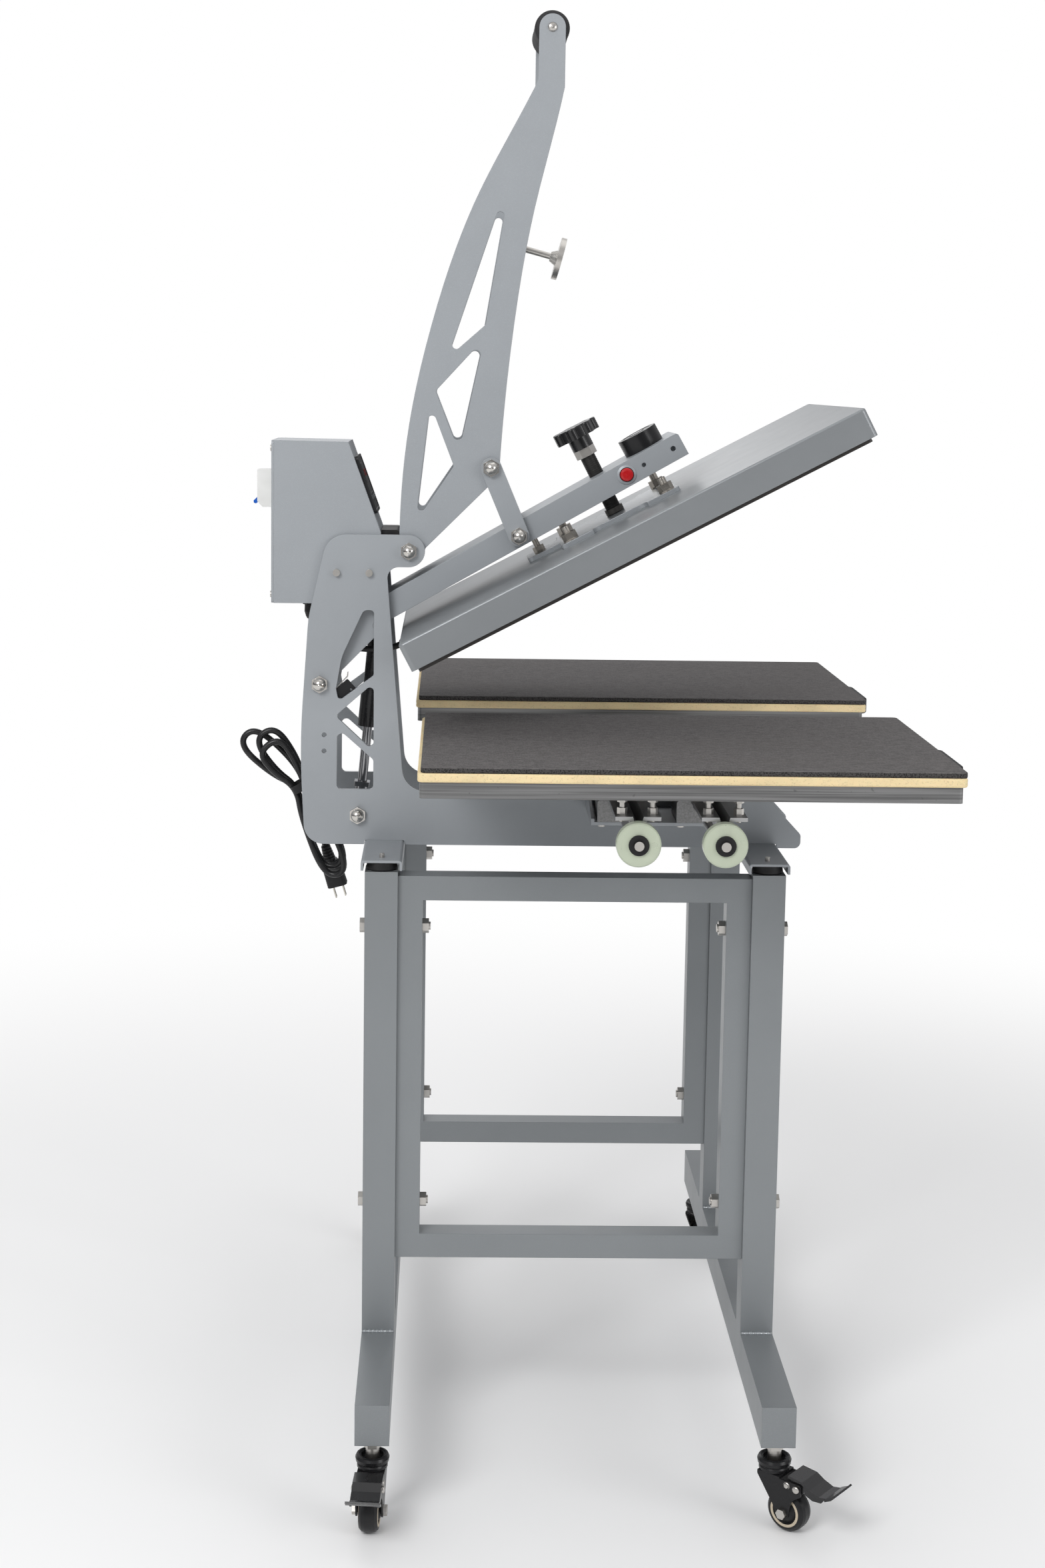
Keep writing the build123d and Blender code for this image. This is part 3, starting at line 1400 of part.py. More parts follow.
# Armature: disc on its rod through the crossbar, with nuts, and the bolt of the grip
with BuildPart() as armature:
    disc_start = armature_reach - armature_thickness
    rod(place(crossbar_center, armature_tilt, -14, 0, head_y), crossbar_normal, 4, 14 + disc_start)
    rod(place(crossbar_center, armature_tilt, disc_start, 0, head_y), crossbar_normal, armature_radius, armature_thickness)
    with Locations(Plane(origin=place(crossbar_center, armature_tilt, disc_start - 4, 0, head_y), z_dir=crossbar_normal)):
        Cone(6, 10, 8)
    rear_seat = place(crossbar_center, armature_tilt, -crossbar_size[1] / 2, 0, head_y)
    acorn_nut(rear_seat, heading(armature_tilt + 180), 13, 13)
    front_seat = place(crossbar_center, armature_tilt, crossbar_size[1] / 2, 0, head_y)
    hexagon(front_seat, crossbar_normal, 13, 6.5)
    for dy in (-17, 17):
        screw = place(crossbar_center, armature_tilt, disc_start, 0, head_y + dy)
        rod(screw, heading(armature_tilt + 180), 3.2, 2)
    bolt_start = (grip_center[0], head_y - handle_gap / 2 - handle_wall, bench_z + grip_center[1])
    rod(bolt_start, far_way, 4, handle_gap + 2 * handle_wall)
    for side in (-1, 1):
        face = (grip_center[0], head_y + side * (handle_gap / 2 + handle_wall), bench_z + grip_center[1])
        turned(face, (0, side, 0), [(0, 0), (5.8, 0), (5.8, 1), (4.6, 2.8), (2.4, 3.8), (0, 4)])
armature.part.label = "armature"
export_step(armature.part, "parts/armature.step")

# Links from the handle to the arm
link_bottom_point = arm_point(link_u, link_n, 0)
link_bottom = (link_bottom_point[0], link_bottom_point[2] - bench_z)
link_run = (link_bottom[0] - link_top[0], link_bottom[1] - link_top[1])
link_length = math.hypot(*link_run)
link_tilt = math.degrees(math.atan2(link_run[1], link_run[0]))
link_offset = handle_gap / 2 + handle_wall + 0.5
with BuildPart() as link_plates:
    for outer_y in (head_y - link_offset, head_y + link_offset + link_wall):
        with BuildSketch(side_plane(outer_y, link_top, link_tilt)):
            with Locations((link_length / 2, 0)):
                SlotOverall(link_length + 2 * link_half_width, 2 * link_half_width)
            with Locations((0, 0), (link_length, 0)):
                Circle(shaft_bolt_radius + bolt_gap, mode=Mode.SUBTRACT)
        extrude(amount=link_wall)
link_plates.part.label = "link_plates"
export_step(link_plates.part, "parts/link_plates.step")

with BuildPart() as link_bolts:
    for side in (-1, 1):
        outer_y = head_y + side * (link_offset + link_wall)
        for point, reach, head in (
            (link_top, link_wall + 0.5 + handle_wall, True),
            (link_bottom, link_offset + link_wall - arm_width / 2 - 0.5, False),
        ):
            face = (point[0], outer_y, bench_z + point[1])
            acorn_nut(face, (0, side, 0), acorn_across, acorn_height)
            rod(face, (0, -side, 0), shaft_bolt_radius, reach)
            if head:
                inner = (point[0], outer_y - side * reach, bench_z + point[1])
                rod(inner, (0, -side, 0), 9, 1.6)
link_bolts.part.label = "link_bolts"
export_step(link_bolts.part, "parts/link_bolts.step")

# Tables: aluminium plates with foam and pad
tables = ((near_table_y, table_middle_x), (far_table_y, table_middle_x + far_table_shift))
with BuildPart() as table_plates:
    for y, x in tables:
        with BuildSketch(Plane(origin=(x, y, bench_z + table_low), z_dir=(0, 0, 1))):
            RectangleRounded(table_size[0], table_size[1], 5)
        extrude(amount=table_size[2])
table_plates.part.label = "table_plates"
export_step(table_plates.part, "parts/table_plates.step")

foam_low = table_low + table_size[2]
with BuildPart() as table_foams:
    for y, x in tables:
        with BuildSketch(Plane(origin=(x + 1.2, y, bench_z + foam_low), z_dir=(0, 0, 1))):
            RectangleRounded(table_size[0] + 7.5, table_size[1] + 5, 7)
        extrude(amount=foam_thickness)
table_foams.part.label = "table_foams"
export_step(table_foams.part, "parts/table_foams.step")

pad_low = foam_low + foam_thickness
with BuildPart() as table_pads:
    for y, x in tables:
        with BuildSketch(Plane(origin=(x + 2.9, y, bench_z + pad_low), z_dir=(0, 0, 1))):
            RectangleRounded(table_size[0] + 3.8, table_size[1] + 1, 6)
        extrude(amount=pad_thickness)
    fillet(table_pads.faces().filter_by(Axis.Z).group_by(Axis.Z)[-1].edges(), radius=1.5)
table_pads.part.label = "table_pads"
export_step(table_pads.part, "parts/table_pads.step")

# Pull handles on the front edges of the tables
pull_size = (33.0, 125.0, 22.0)
pull_slot = (20.0, 97.0)
pull_low = 118.0
with BuildPart() as pull_handles:
    for y, x in tables:
        edge_x = x + table_size[0] / 2
        with BuildSketch(Plane(origin=(edge_x, y, bench_z + pull_low), z_dir=(0, 0, 1))):
            with BuildLine():
                FilletPolyline(
                    (0, -pull_size[1] / 2),
                    (pull_size[0], -pull_size[1] / 2),
                    (pull_size[0], pull_size[1] / 2),
                    (0, pull_size[1] / 2),
                    (0, pull_slot[1] / 2),
                    (pull_slot[0], pull_slot[1] / 2),
                    (pull_slot[0], -pull_slot[1] / 2),
                    (0, -pull_slot[1] / 2),
                    radius=[0, 12, 12, 0, 0, 7, 7, 0],
                    close=True,
                )
            make_face()
        extrude(amount=pull_size[2])
    flats = pull_handles.faces().filter_by(Axis.Z).edges()
    rims = flats.filter_by(lambda edge: edge.bounding_box().max.X - 0.01 > table_middle_x)
    front_rims = rims.filter_by(GeomType.LINE).filter_by(
        lambda edge: abs(edge.length - pull_size[1] + 24) < 0.1
    )
    fillet(front_rims, radius=3)
pull_handles.part.label = "pull_handles"
export_step(pull_handles.part, "parts/pull_handles.step")

# Rails: rods with their supports below the tables
travel_near = head_y - near_table_y
travel_far = far_table_y - head_y
rod_near_y = head_y - block_half_span - running_gap - travel_near
rod_far_y = head_y + block_half_span + running_gap + travel_far
wing_low = 95.5
wing_high = 100.0
with BuildPart() as rails:
    for rail in rail_places:
        rod((rail, rod_near_y, bench_z + rod_height), far_way, rod_radius, rod_far_y - rod_near_y)
        with BuildSketch(side_plane(rod_far_y, (rail, 0))):
            with BuildLine():
                Polyline(
                    (-25.5, wing_high), (-6, wing_high), (-2, 85), (2, 85), (6, wing_high),
                    (25.5, wing_high), (25.5, wing_low), (9.5, wing_low), (8, 90), (5, 79),
                    (-5, 79), (-8, 90), (-9.5, wing_low), (-25.5, wing_low),
                    close=True,
                )
            make_face()
            with Locations((0, rod_height)):
                Circle(rod_radius + seam, mode=Mode.SUBTRACT)
        extrude(amount=rod_far_y - rod_near_y)
    for rail in rail_places:
        for start_y, way in ((rod_near_y, far_way), (rod_far_y, near_way)):
            start = (rail, start_y, bench_z + rod_height)
            rod(start, way, 4 + bolt_gap, 20, Mode.SUBTRACT)
        for y in (near_table_y, far_table_y):
            for dy in (-160, 0, 160):
                for dx in (-17, 17):
                    hole = (rail + dx, y + dy, bench_z + wing_low - 1)
                    rod(hole, (0, 0, 1), 3 + bolt_gap, 8, Mode.SUBTRACT)
rails.part.label = "rails"
export_step(rails.part, "parts/rails.step")

# Rail bolts: the pillars between rails and tables, and the screws of the bumper discs
with BuildPart() as rail_bolts:
    for rail in rail_places:
        for y in (near_table_y, far_table_y):
            for dy in (-160, 0, 160):
                for dx in (-17, 17):
                    seat = (rail + dx, y + dy, bench_z + wing_high)
                    hexagon(seat, (0, 0, 1), 10, 8)
                    rod((seat[0], seat[1], seat[2] - 8), (0, 0, 1), 3, 8 + table_low - wing_high)
                    hexagon((seat[0], seat[1], bench_z + table_low), (0, 0, -1), 10, 9)
        for end_y, way, back in ((rod_near_y, -1, 1), (rod_far_y, 1, -1)):
            face = (rail, end_y + way * bumper_length, bench_z + rod_height)
            rod(face, (0, way, 0), 11.5, 2.5)
            rod((face[0], face[1] + way * 2.5, face[2]), (0, way, 0), 6, 4)
            rod(face, (0, back, 0), 4, bumper_length + 12)
rail_bolts.part.label = "rail_bolts"
export_step(rail_bolts.part, "parts/rail_bolts.step")

# Bumper discs at the ends of the rods
with BuildPart() as bumper_discs:
    for rail in rail_places:
        for end_y, way in ((rod_near_y, -1), (rod_far_y, 1)):
            turned(
                (rail, end_y, bench_z + rod_height),
                (0, way, 0),
                [
                    (4 + bolt_gap, 0),
                    (bumper_radius - 1.5, 0),
                    (bumper_radius, 1.5),
                    (bumper_radius, bumper_length - 1.5),
                    (bumper_radius - 1.5, bumper_length),
                    (4 + bolt_gap, bumper_length),
                ],
            )
bumper_discs.part.label = "bumper_discs"
export_step(bumper_discs.part, "parts/bumper_discs.step")


# Cord: the free stretch from the gland, the tied hank and the plug
def corner_radii(points):
    """Largest gentle radius at each corner of a route of straight runs."""
    radii = []
    for before, here, after in zip(points, points[1:], points[2:]):
        run_in = Vector(*here) - Vector(*before)
        run_out = Vector(*after) - Vector(*here)
        half_turn = math.radians(run_in.get_angle(run_out)) / 2
        radii.append(0.45 * min(run_in.length, run_out.length) / math.tan(half_turn))
    return radii


def cord_solid(points):
    """Tube along straight runs joined by tangent arcs, added to the part being built."""
    radii = corner_radii(points)
    with BuildLine() as path:
        FilletPolyline(*points, radius=radii)
    with BuildSketch(path.line ^ 0) as section:
        Circle(cord_radius)
    sweep(section.sketch, path=path.line)
    return radii, path.wires()[0]


cord_start = (gland_x, head_y, bench_z + box_low - gland_length)
mean_x = math.cos(math.radians(waist_lean)) * strand_offset
mean_z = math.sin(math.radians(waist_lean)) * strand_offset
hank_start = (waist[0] + mean_x, first_layer_y, bench_z + waist[1] + mean_z)
cord_points = [
    cord_start,
    (gland_x, head_y, bench_z + 258),
    (-333.5, -45.5, bench_z + 236),
    (-337.0, -48.0, bench_z + 196),
    (-337.5, -54.0, bench_z + 150),
    (-337.0, -59.0, bench_z + 104),
]
tie_place = tuple((Vector(*cord_points[-1]) + Vector(*hank_start)) / 2)
cord_points.append(tie_place)


def hank_point(lean, along, across, layer):
    """Point of a loop, along and across its own lean from the waist."""
    turn = math.radians(lean)
    x = waist[0] - along * math.sin(turn) + across * math.cos(turn)
    z = bench_z + waist[1] + along * math.cos(turn) + across * math.sin(turn)
    return (x, first_layer_y + layer * layer_step, z)


hank_points = [tie_place, hank_start]
for layer, (top_lean, top_reach, bottom_reach) in enumerate(hank_turns):
    hank_points += [
        hank_point(bottom_lean, -40, hank_neck_half, layer),
        hank_point(bottom_lean, -bottom_reach, hank_bottom_half, layer),
        hank_point(bottom_lean, -bottom_reach, -hank_bottom_half, layer + 1),
        hank_point(bottom_lean, -40, -hank_neck_half, layer + 1),
        hank_point(waist_lean, 0, -strand_offset, layer + 1),
        hank_point(top_lean, 34, -hank_top_half, layer + 1),
        hank_point(top_lean, top_reach, -hank_top_half, layer + 1),
        hank_point(top_lean, top_reach, hank_top_half, layer + 1),
        hank_point(top_lean, 34, hank_top_half, layer + 1),
        hank_point(waist_lean, 0, strand_offset, layer + 1),
    ]
plug_start = (waist[0] + 30, -12.0, bench_z + waist[1] - 85)
hank_points += [(waist[0] + 18.5, -20.0, bench_z + waist[1] - 45), plug_start]
plug_way = (Vector(*hank_points[-1]) - Vector(*hank_points[-2])).normalized()


def least_self_gap(path, length):
    """Least gap between two stretches of one tube that are apart along it."""
    count = int(length / 4)
    places = [path @ (index / count) for index in range(count + 1)]
    apart = int(6 * cord_radius / (length / count)) + 1
    least = 1e9
    for first in range(len(places)):
        for second in range(first + apart, len(places)):
            least = min(least, (places[first] - places[second]).length)
    return least - 2 * cord_radius


with BuildPart() as power_cord:
    cord_radii, cord_path = cord_solid(cord_points)
power_cord.part.label = "power_cord"
export_step(power_cord.part, "parts/power_cord.step")

with BuildPart() as cord_hank:
    hank_radii, hank_path = cord_solid(hank_points)
cord_hank.part.label = "cord_hank"
export_step(cord_hank.part, "parts/cord_hank.step")

cord_area = math.pi * cord_radius**2
print("cord radii", [round(radius) for radius in cord_radii])
print("hank radii", [round(radius) for radius in hank_radii])
print("cord volume over section times length", power_cord.part.volume / (cord_area * cord_path.length))
print("hank volume over section times length", cord_hank.part.volume / (cord_area * hank_path.length))
print("cord and hank length", round(cord_path.length), round(hank_path.length))
print("least gap of the hank to itself", round(least_self_gap(hank_path, hank_path.length), 2))

# Plug: ribbed strain relief, tapered body and two blades
plug_plane = Plane(origin=plug_start, x_dir=Vector(1, 0, 0).cross(plug_way).cross(plug_way) * -1, z_dir=plug_way)
with BuildPart() as cord_plug:
    rib_outline = [(0, 0), (cord_radius + 1.2, 0)]
    for rib in range(5):
        rib_start = 1 + rib * 4
        rib_radius = cord_radius + 1.6 + rib * 0.45
        rib_outline += [
            (rib_radius - 0.9, rib_start),
            (rib_radius + 0.5, rib_start + 0.3),
            (rib_radius + 0.6, rib_start + 2.4),
            (rib_radius - 0.7, rib_start + 2.7),
        ]
    rib_outline += [(cord_radius + 3, relief_length), (0, relief_length)]
    turned(plug_start, tuple(plug_way), rib_outline)
    with BuildSketch(plug_plane.offset(relief_length)):
        RectangleRounded(19, 14, 5)
    with BuildSketch(plug_plane.offset(relief_length + 12)):
        RectangleRounded(25, 17, 5)
    with BuildSketch(plug_plane.offset(relief_length + plug_length)):
        RectangleRounded(26, 17.5, 5)
    loft(ruled=True)
    with BuildSketch(plug_plane.offset(relief_length + plug_length)):
        with GridLocations(12.7, 10, 2, 1):
            Rectangle(1.6, 6.4)
    extrude(amount=17)
cord_plug.part.label = "cord_plug"
export_step(cord_plug.part, "parts/cord_plug.step")
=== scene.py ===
"""Dual station heat press on its wheeled stand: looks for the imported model."""

import json
import math

import bpy
from mathutils import Matrix, Vector, noise


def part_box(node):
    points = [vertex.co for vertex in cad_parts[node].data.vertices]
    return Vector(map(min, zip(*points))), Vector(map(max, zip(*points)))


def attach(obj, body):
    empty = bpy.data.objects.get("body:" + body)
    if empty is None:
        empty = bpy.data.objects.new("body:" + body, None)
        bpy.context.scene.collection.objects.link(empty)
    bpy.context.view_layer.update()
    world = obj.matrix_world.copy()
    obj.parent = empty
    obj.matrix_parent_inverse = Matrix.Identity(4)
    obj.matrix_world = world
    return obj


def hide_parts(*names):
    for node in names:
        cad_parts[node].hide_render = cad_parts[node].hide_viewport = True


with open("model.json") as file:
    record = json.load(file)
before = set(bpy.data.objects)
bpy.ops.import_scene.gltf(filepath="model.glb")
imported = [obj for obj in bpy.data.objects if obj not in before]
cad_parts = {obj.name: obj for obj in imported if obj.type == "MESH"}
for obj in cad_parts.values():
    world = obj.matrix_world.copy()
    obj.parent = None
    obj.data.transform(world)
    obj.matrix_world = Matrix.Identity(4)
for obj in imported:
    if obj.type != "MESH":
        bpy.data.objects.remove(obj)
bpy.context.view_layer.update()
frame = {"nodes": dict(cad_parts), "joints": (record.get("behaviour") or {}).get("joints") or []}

bl_info = {
    "name": "Dual Station Heat Press",
    "version": (1, 0, 0),
    "blender": (4, 5, 0),
    "location": "View3D > Sidebar > Heat Press",
    "description": "Materials, pads, cord and fine detail of a dual station heat press",
    "category": "Object",
}

# Places of the press, in metres
MM = 0.001
BENCH_Z = 0.749
HEAD_Y = -0.045
ARM_PIVOT = Vector((-0.3174, 0.0, BENCH_Z + 0.1976))
ARM_TILT = math.radians(29.8)
PLATEN_TILT = math.radians(27.8)
FAR_WAY = Vector((0.0, 1.0, 0.0))
UP_WAY = Vector((0.0, 0.0, 1.0))
ENDS = ((-1, "near"), (1, "far"))

# Platen and pressure screw, in millimetres from the arm pivot
SCREW_P = 427.9
SEAT_Q = 17.4
FOOT_TOP_Q = SEAT_Q + 7.6
THREAD_TOP_Q = 97.4

# Camera of the photograph: focal length, height and shifts in pixels, place in metres,
# pitch, yaw and roll in degrees
PHOTO_FOCAL = 3320.0
PHOTO_HEIGHT = 2352.0
PHOTO_SHIFT = (50.0, -199.0)
CAMERA_PLACE = (-0.155, -2.850, 1.329)
CAMERA_TURNS = (7.05, 1.02, 0.77)

# Mains cord and its hank, in millimetres; each turn has its top lean, top reach and bottom reach
WAIST = (-345.0, 57.0)
HANK_TURNS = ((38.0, 67.0, 124.0), (35.0, 82.0, 114.0), (49.0, 95.0, 119.0))
HANK_TOP_HALF = 16.5
HANK_BOTTOM_HALF = 18.0
HANK_NECK_HALF = 15.0
FIRST_LAYER_Y = -59.25
LAYER_STEP = 9.5
STRAND_OFFSET = 5.2
WAIST_LEAN = 30.0
BOTTOM_LEAN = 23.0

# Casters, in millimetres
CASTERS = ("near_left", "near_right", "far_left", "far_right")
HALF_FORK = 16.0
PEDAL_RIVET_FACE = HALF_FORK + 1.5
FORK_RIVET_FACE = HALF_FORK - 0.2
WHEEL_FACE = 10.6
RIVET_SETBACK = 13.0
RIVET_RISE = 0.5
RIM_OUTLINE = ((15.4, 0.0), (18.6, 0.0), (18.6, 0.5), (18.0, 0.95), (16.0, 0.95), (15.4, 0.5))
RIVET_DOME = ((4.4, -1.0), (4.4, 0.5), (3.9, 1.3), (2.6, 1.9), (1.0, 2.2))

# Sheets of the tables, in millimetres: edges are (height, inset), places (side, x, y) in metres
TOP_INSETS = (8.0, 18.0, 32.0, 50.0, 75.0, 105.0, 140.0)
FOAM_EDGE = ((0.0, 3.0), (0.0, 1.4), (0.7, 0.5), (2.5, 0.1), (5.0, 0.4), (7.5, 0.1), (9.3, 0.5))
PAD_EDGE = ((0.0, 3.0), (0.0, 1.0), (0.5, 0.35), (2.0, 0.1), (4.6, 0.2), (5.9, 0.3), (6.3, 0.6))
FOAM_PLACES = (("near", 0.1127, -0.271), ("far", 0.1023, 0.279))
PAD_PLACES = (("near", 0.1144, -0.271), ("far", 0.1040, 0.279))
FOAM_RIM = 1.4
PAD_RIM = 1.2
FOAM_SIZE = (604.3, 404.8)
PAD_SIZE = (600.6, 400.8)
FOAM_CORNER = 7.0
PAD_CORNER = 6.0
FOAM_RIPPLE = 0.05
PAD_RIPPLE = 0.22
PAD_LIFT = 0.05
CROWN_RUN = 60.0
OUTLINE_STEP = 12.0

# Tie around the waist of the hank: half sizes and section, in millimetres
TIE_HALF = (10.6, 19.6)
TIE_SECTION = ((0.0, -5.5), (0.9, -5.0), (0.9, 5.0), (0.0, 5.5), (-0.6, 5.0), (-0.6, -5.0))
TIE_SQUARENESS = 0.62
TIE_STEPS = 40

# Platen lead: diameter in metres, places and gland in millimetres from the arm pivot
LEAD_DIAMETER = 0.008
LEAD_POINTS = (
    (111.0, -5.1, -74.0),
    (102.0, -5.1, -74.0),
    (87.0, 0.9, -75.0),
    (66.0, 9.9, -73.0),
    (49.0, 22.9, -70.0),
)
GLAND_PLACE = (119.9, -5.1, -74.0)
GLAND_OUTLINE = (
    (4.0, 0.0), (7.6, 0.0), (7.6, 3.4), (7.0, 4.0), (5.9, 4.2), (5.7, 8.2), (5.1, 9.2), (4.05, 9.4),
)

# Parts of a node that have a finish of their own, in metres
PLUG_BODY = 0.0582
NUT_CORE = 0.0102
RAILS_X = (0.0554, 0.1514)
RAILS_Z = BENCH_Z + 0.071
RAIL_ENDS = (-0.4606, 0.5437)
WASHER_RADII = (0.0054, 0.0121)
AXLE_RADIUS = 0.0085
AXLE_FACE = 0.01615
BEZEL_RADIUS = 0.0091
POLE_FACE = 0.0208
POLE_RADII = (0.0085, 0.0225)
SWITCH_CORNER = (-0.3043, 0.0, BENCH_Z + 0.1844)
SWITCH_TILT = math.radians(41.7)

# Places on the arm, and the radius and depth of the grip's rounded end, in millimetres
BUTTON_PLACE = (461.0, 41.4, -95.0)
MAGNET_PLACE = (499.1, 56.4, -45.0)
GRIP_END = ((4.2, 0.4), (16.0, 0.4), (18.6, 0.9), (20.4, 2.2), (21.2, 4.2), (21.4, 7.0))
GRIP_STEPS = 14

# Threads, in millimetres; a bolt has its place beside the screw, its radius and its thread's ends
SCREW_RADIUS = 9.9
SCREW_DEPTH = 1.0
SCREW_COARSENESS = 1.25
BOLT_PITCH = 1.3
BOLT_DEPTH = 0.5
BOLT_PROUD = 0.15
BOLT_LAP = 0.2
BOLTS = (
    *((p, y, 5.0, 10.0, 18.0) for p in (-66.5, 66.5) for y in (-105.0, 15.0)),
    (-107.5, -45.0, 4.0, 7.0, 26.0),
)

# Control panel: its slope in metres, digits and keys in millimetres
PANEL_LOW = Vector((-0.2425, 0.0, BENCH_Z + 0.387))
PANEL_HIGH = Vector((-0.2835, 0.0, BENCH_Z + 0.500))
DIGIT_LEVEL = 3.45
DIGIT_RISE = 14.0
FIRST_DIGIT = -22.0
DIGIT_STEP = 8.0
DISPLAY_GAP = 4.0
DIGIT_BARS = {
    "a": (0.0, 4.2, 3.2, 0.8), "g": (0.0, 0.0, 3.2, 0.8), "d": (0.0, -4.2, 3.2, 0.8),
    "f": (-2.2, 2.1, 0.8, 3.2), "b": (2.2, 2.1, 0.8, 3.2),
    "e": (-2.2, -2.1, 0.8, 3.2), "c": (2.2, -2.1, 0.8, 3.2),
}
DIGIT_SHAPES = {"0": "abcdef", "1": "bc", "8": "abcdefg", "3": "abcdg"}
KEY_LEVEL = 3.66
KEY_DROP = 18.0
FIRST_KEY = -31.5
KEY_STEP = 21.0

# Welds between posts and foot tubes, in millimetres
POST_X = 235.0
POST_Y = 210.0
POST_FACE = 20.6
WELD_Z = 154.9
WELD_HALF = 19.6
WELD_OUT = 0.6
WELD_RINGS = 57
WELD_SIDES = 12

# Studio
FILM_HEIGHT = 36.0
WHITE = (1.0, 1.0, 1.0, 1.0)
FLOOR_HALF = 9.0
FLOOR_FADE = (0.9, 2.6)
SKY_STRENGTH = 0.62
SKY_BANDS = (
    (0.30, (0.80, 0.81, 0.83, 1.0)),
    (0.47, (0.16, 0.16, 0.1648, 1.0)),
    (0.56, (0.22, 0.22, 0.2266, 1.0)),
    (0.66, (0.95, 0.95, 0.9785, 1.0)),
    (0.92, WHITE),
)
LAMP_AIM = Vector((0.0, -0.05, 0.9))
LAMPS = (
    ("key_lamp", (-1.7, -3.0, 2.9), 1.5, 74.0),
    ("top_lamp", (0.3, 0.3, 3.8), 2.4, 14.0),
    ("fill_lamp", (2.9, -2.3, 1.7), 1.6, 30.0),
    ("back_lamp", (-0.6, 3.0, 2.6), 2.2, 16.0),
)


def leaning_ways(tilt):
    """Directions along and square to a lean in the upright plane of the arm."""
    return (
        Vector((math.cos(tilt), 0.0, math.sin(tilt))),
        Vector((-math.sin(tilt), 0.0, math.cos(tilt))),
    )


def leaning_place(tilt, along, across, y):
    """Point in millimetres along and across a lean from the arm pivot."""
    way, up = leaning_ways(tilt)
    place = ARM_PIVOT + way * along * MM + up * across * MM
    place.y = y * MM
    return place


def platen_place(p, q, y=HEAD_Y / MM):
    """Point of the open platen, in millimetres."""
    return leaning_place(PLATEN_TILT, p, q, y)


PLATEN_WAY, PLATEN_UP = leaning_ways(PLATEN_TILT)


# Sizes and colours that a user would change
def colour(name, description, value):
    """Colour setting with its usual form."""
    return bpy.props.FloatVectorProperty(
        name=name, description=description, subtype="COLOR", size=4, min=0.0, max=1.0,
        default=(*value, 1.0),
    )


def length(name, description, value):
    """Length setting in metres."""
    return bpy.props.FloatProperty(
        name=name, description=description, default=value, min=0.0, unit="LENGTH"
    )


class HeatPressColours(bpy.types.PropertyGroup):
    """Colours of the press and its stand."""

    press_paint: colour("Press paint", "Powder coat of the press", (0.335, 0.355, 0.375))
    platen_paint: colour("Platen paint", "Paint of the platen cover", (0.25, 0.264, 0.275))
    stand_paint: colour("Stand paint", "Powder coat of the stand", (0.235, 0.25, 0.26))
    steel: colour("Steel", "Zinc plated and stainless steel", (0.56, 0.54, 0.51))
    aluminium: colour("Aluminium", "Table plates", (0.40, 0.40, 0.40))
    bearing: colour("Bearing", "Bearing blocks", (0.23, 0.23, 0.23))
    pad: colour("Pad", "Rubber pad of the tables", (0.108, 0.102, 0.101))
    foam: colour("Foam", "Silicone foam of the tables", (0.78, 0.63, 0.37))
    black: colour("Black", "Plastic, rubber and black paint", (0.013, 0.013, 0.014))
    bumper: colour("Bumper", "Translucent bumper discs", (0.60, 0.66, 0.52))
    button: colour("Button", "Push button", (0.46, 0.005, 0.008))
    toggle: colour("Breaker lever", "Lever of the circuit breaker", (0.01, 0.11, 0.52))
    floor: colour("Floor", "Studio floor", (0.92, 0.92, 0.92))


class HeatPressSizes(bpy.types.PropertyGroup):
    """Sizes of the dressed pieces."""

    cord_diameter: length("Cord diameter", "Diameter of the mains cord", 0.008)
    cord_length: length("Cord length", "Length of the mains cord up to the plug", 1.62)
    lead_length: length("Lead length", "Length of the platen lead", 0.07)
    screw_pitch: length("Screw pitch", "Pitch of the pressure screw", 0.002)
    pad_crown: length("Pad crown", "Rise of a pad towards its middle", 0.0004)
    edge_round: length("Edge round", "Rounding that catches light on sheet edges", 0.0009)
    bead_length: length("Weld bead", "Length of one weld scale", 0.0052)


def tone_of(name):
    """A colour setting as a plain tuple."""
    return tuple(getattr(bpy.context.scene.press_colours, name))


def shade(tone, factor):
    """A colour made lighter or darker."""
    return (*(min(1.0, part * factor) for part in tone[:3]), 1.0)


# Node trees: shader maths as plain sums
class Channel:
    """One output of a node, on which plain sums can be written."""

    def __init__(self, wiring, output):
        self.wiring = wiring
        self.output = output

    def worked(self, operation, *values):
        return self.wiring.node(
            "ShaderNodeMath", {"operation": operation}, dict(enumerate(values))
        )

    def __add__(self, other):
        return self.worked("ADD", self, other)

    __radd__ = __add__

    def __rsub__(self, other):
        return self.worked("SUBTRACT", other, self)

    def __mul__(self, other):
        return self.worked("MULTIPLY", self, other)

    __rmul__ = __mul__

    def __gt__(self, other):
        return self.worked("GREATER_THAN", self, other)

    def __lt__(self, other):
        return self.worked("LESS_THAN", self, other)

    def __abs__(self):
        return self.worked("ABSOLUTE", self)


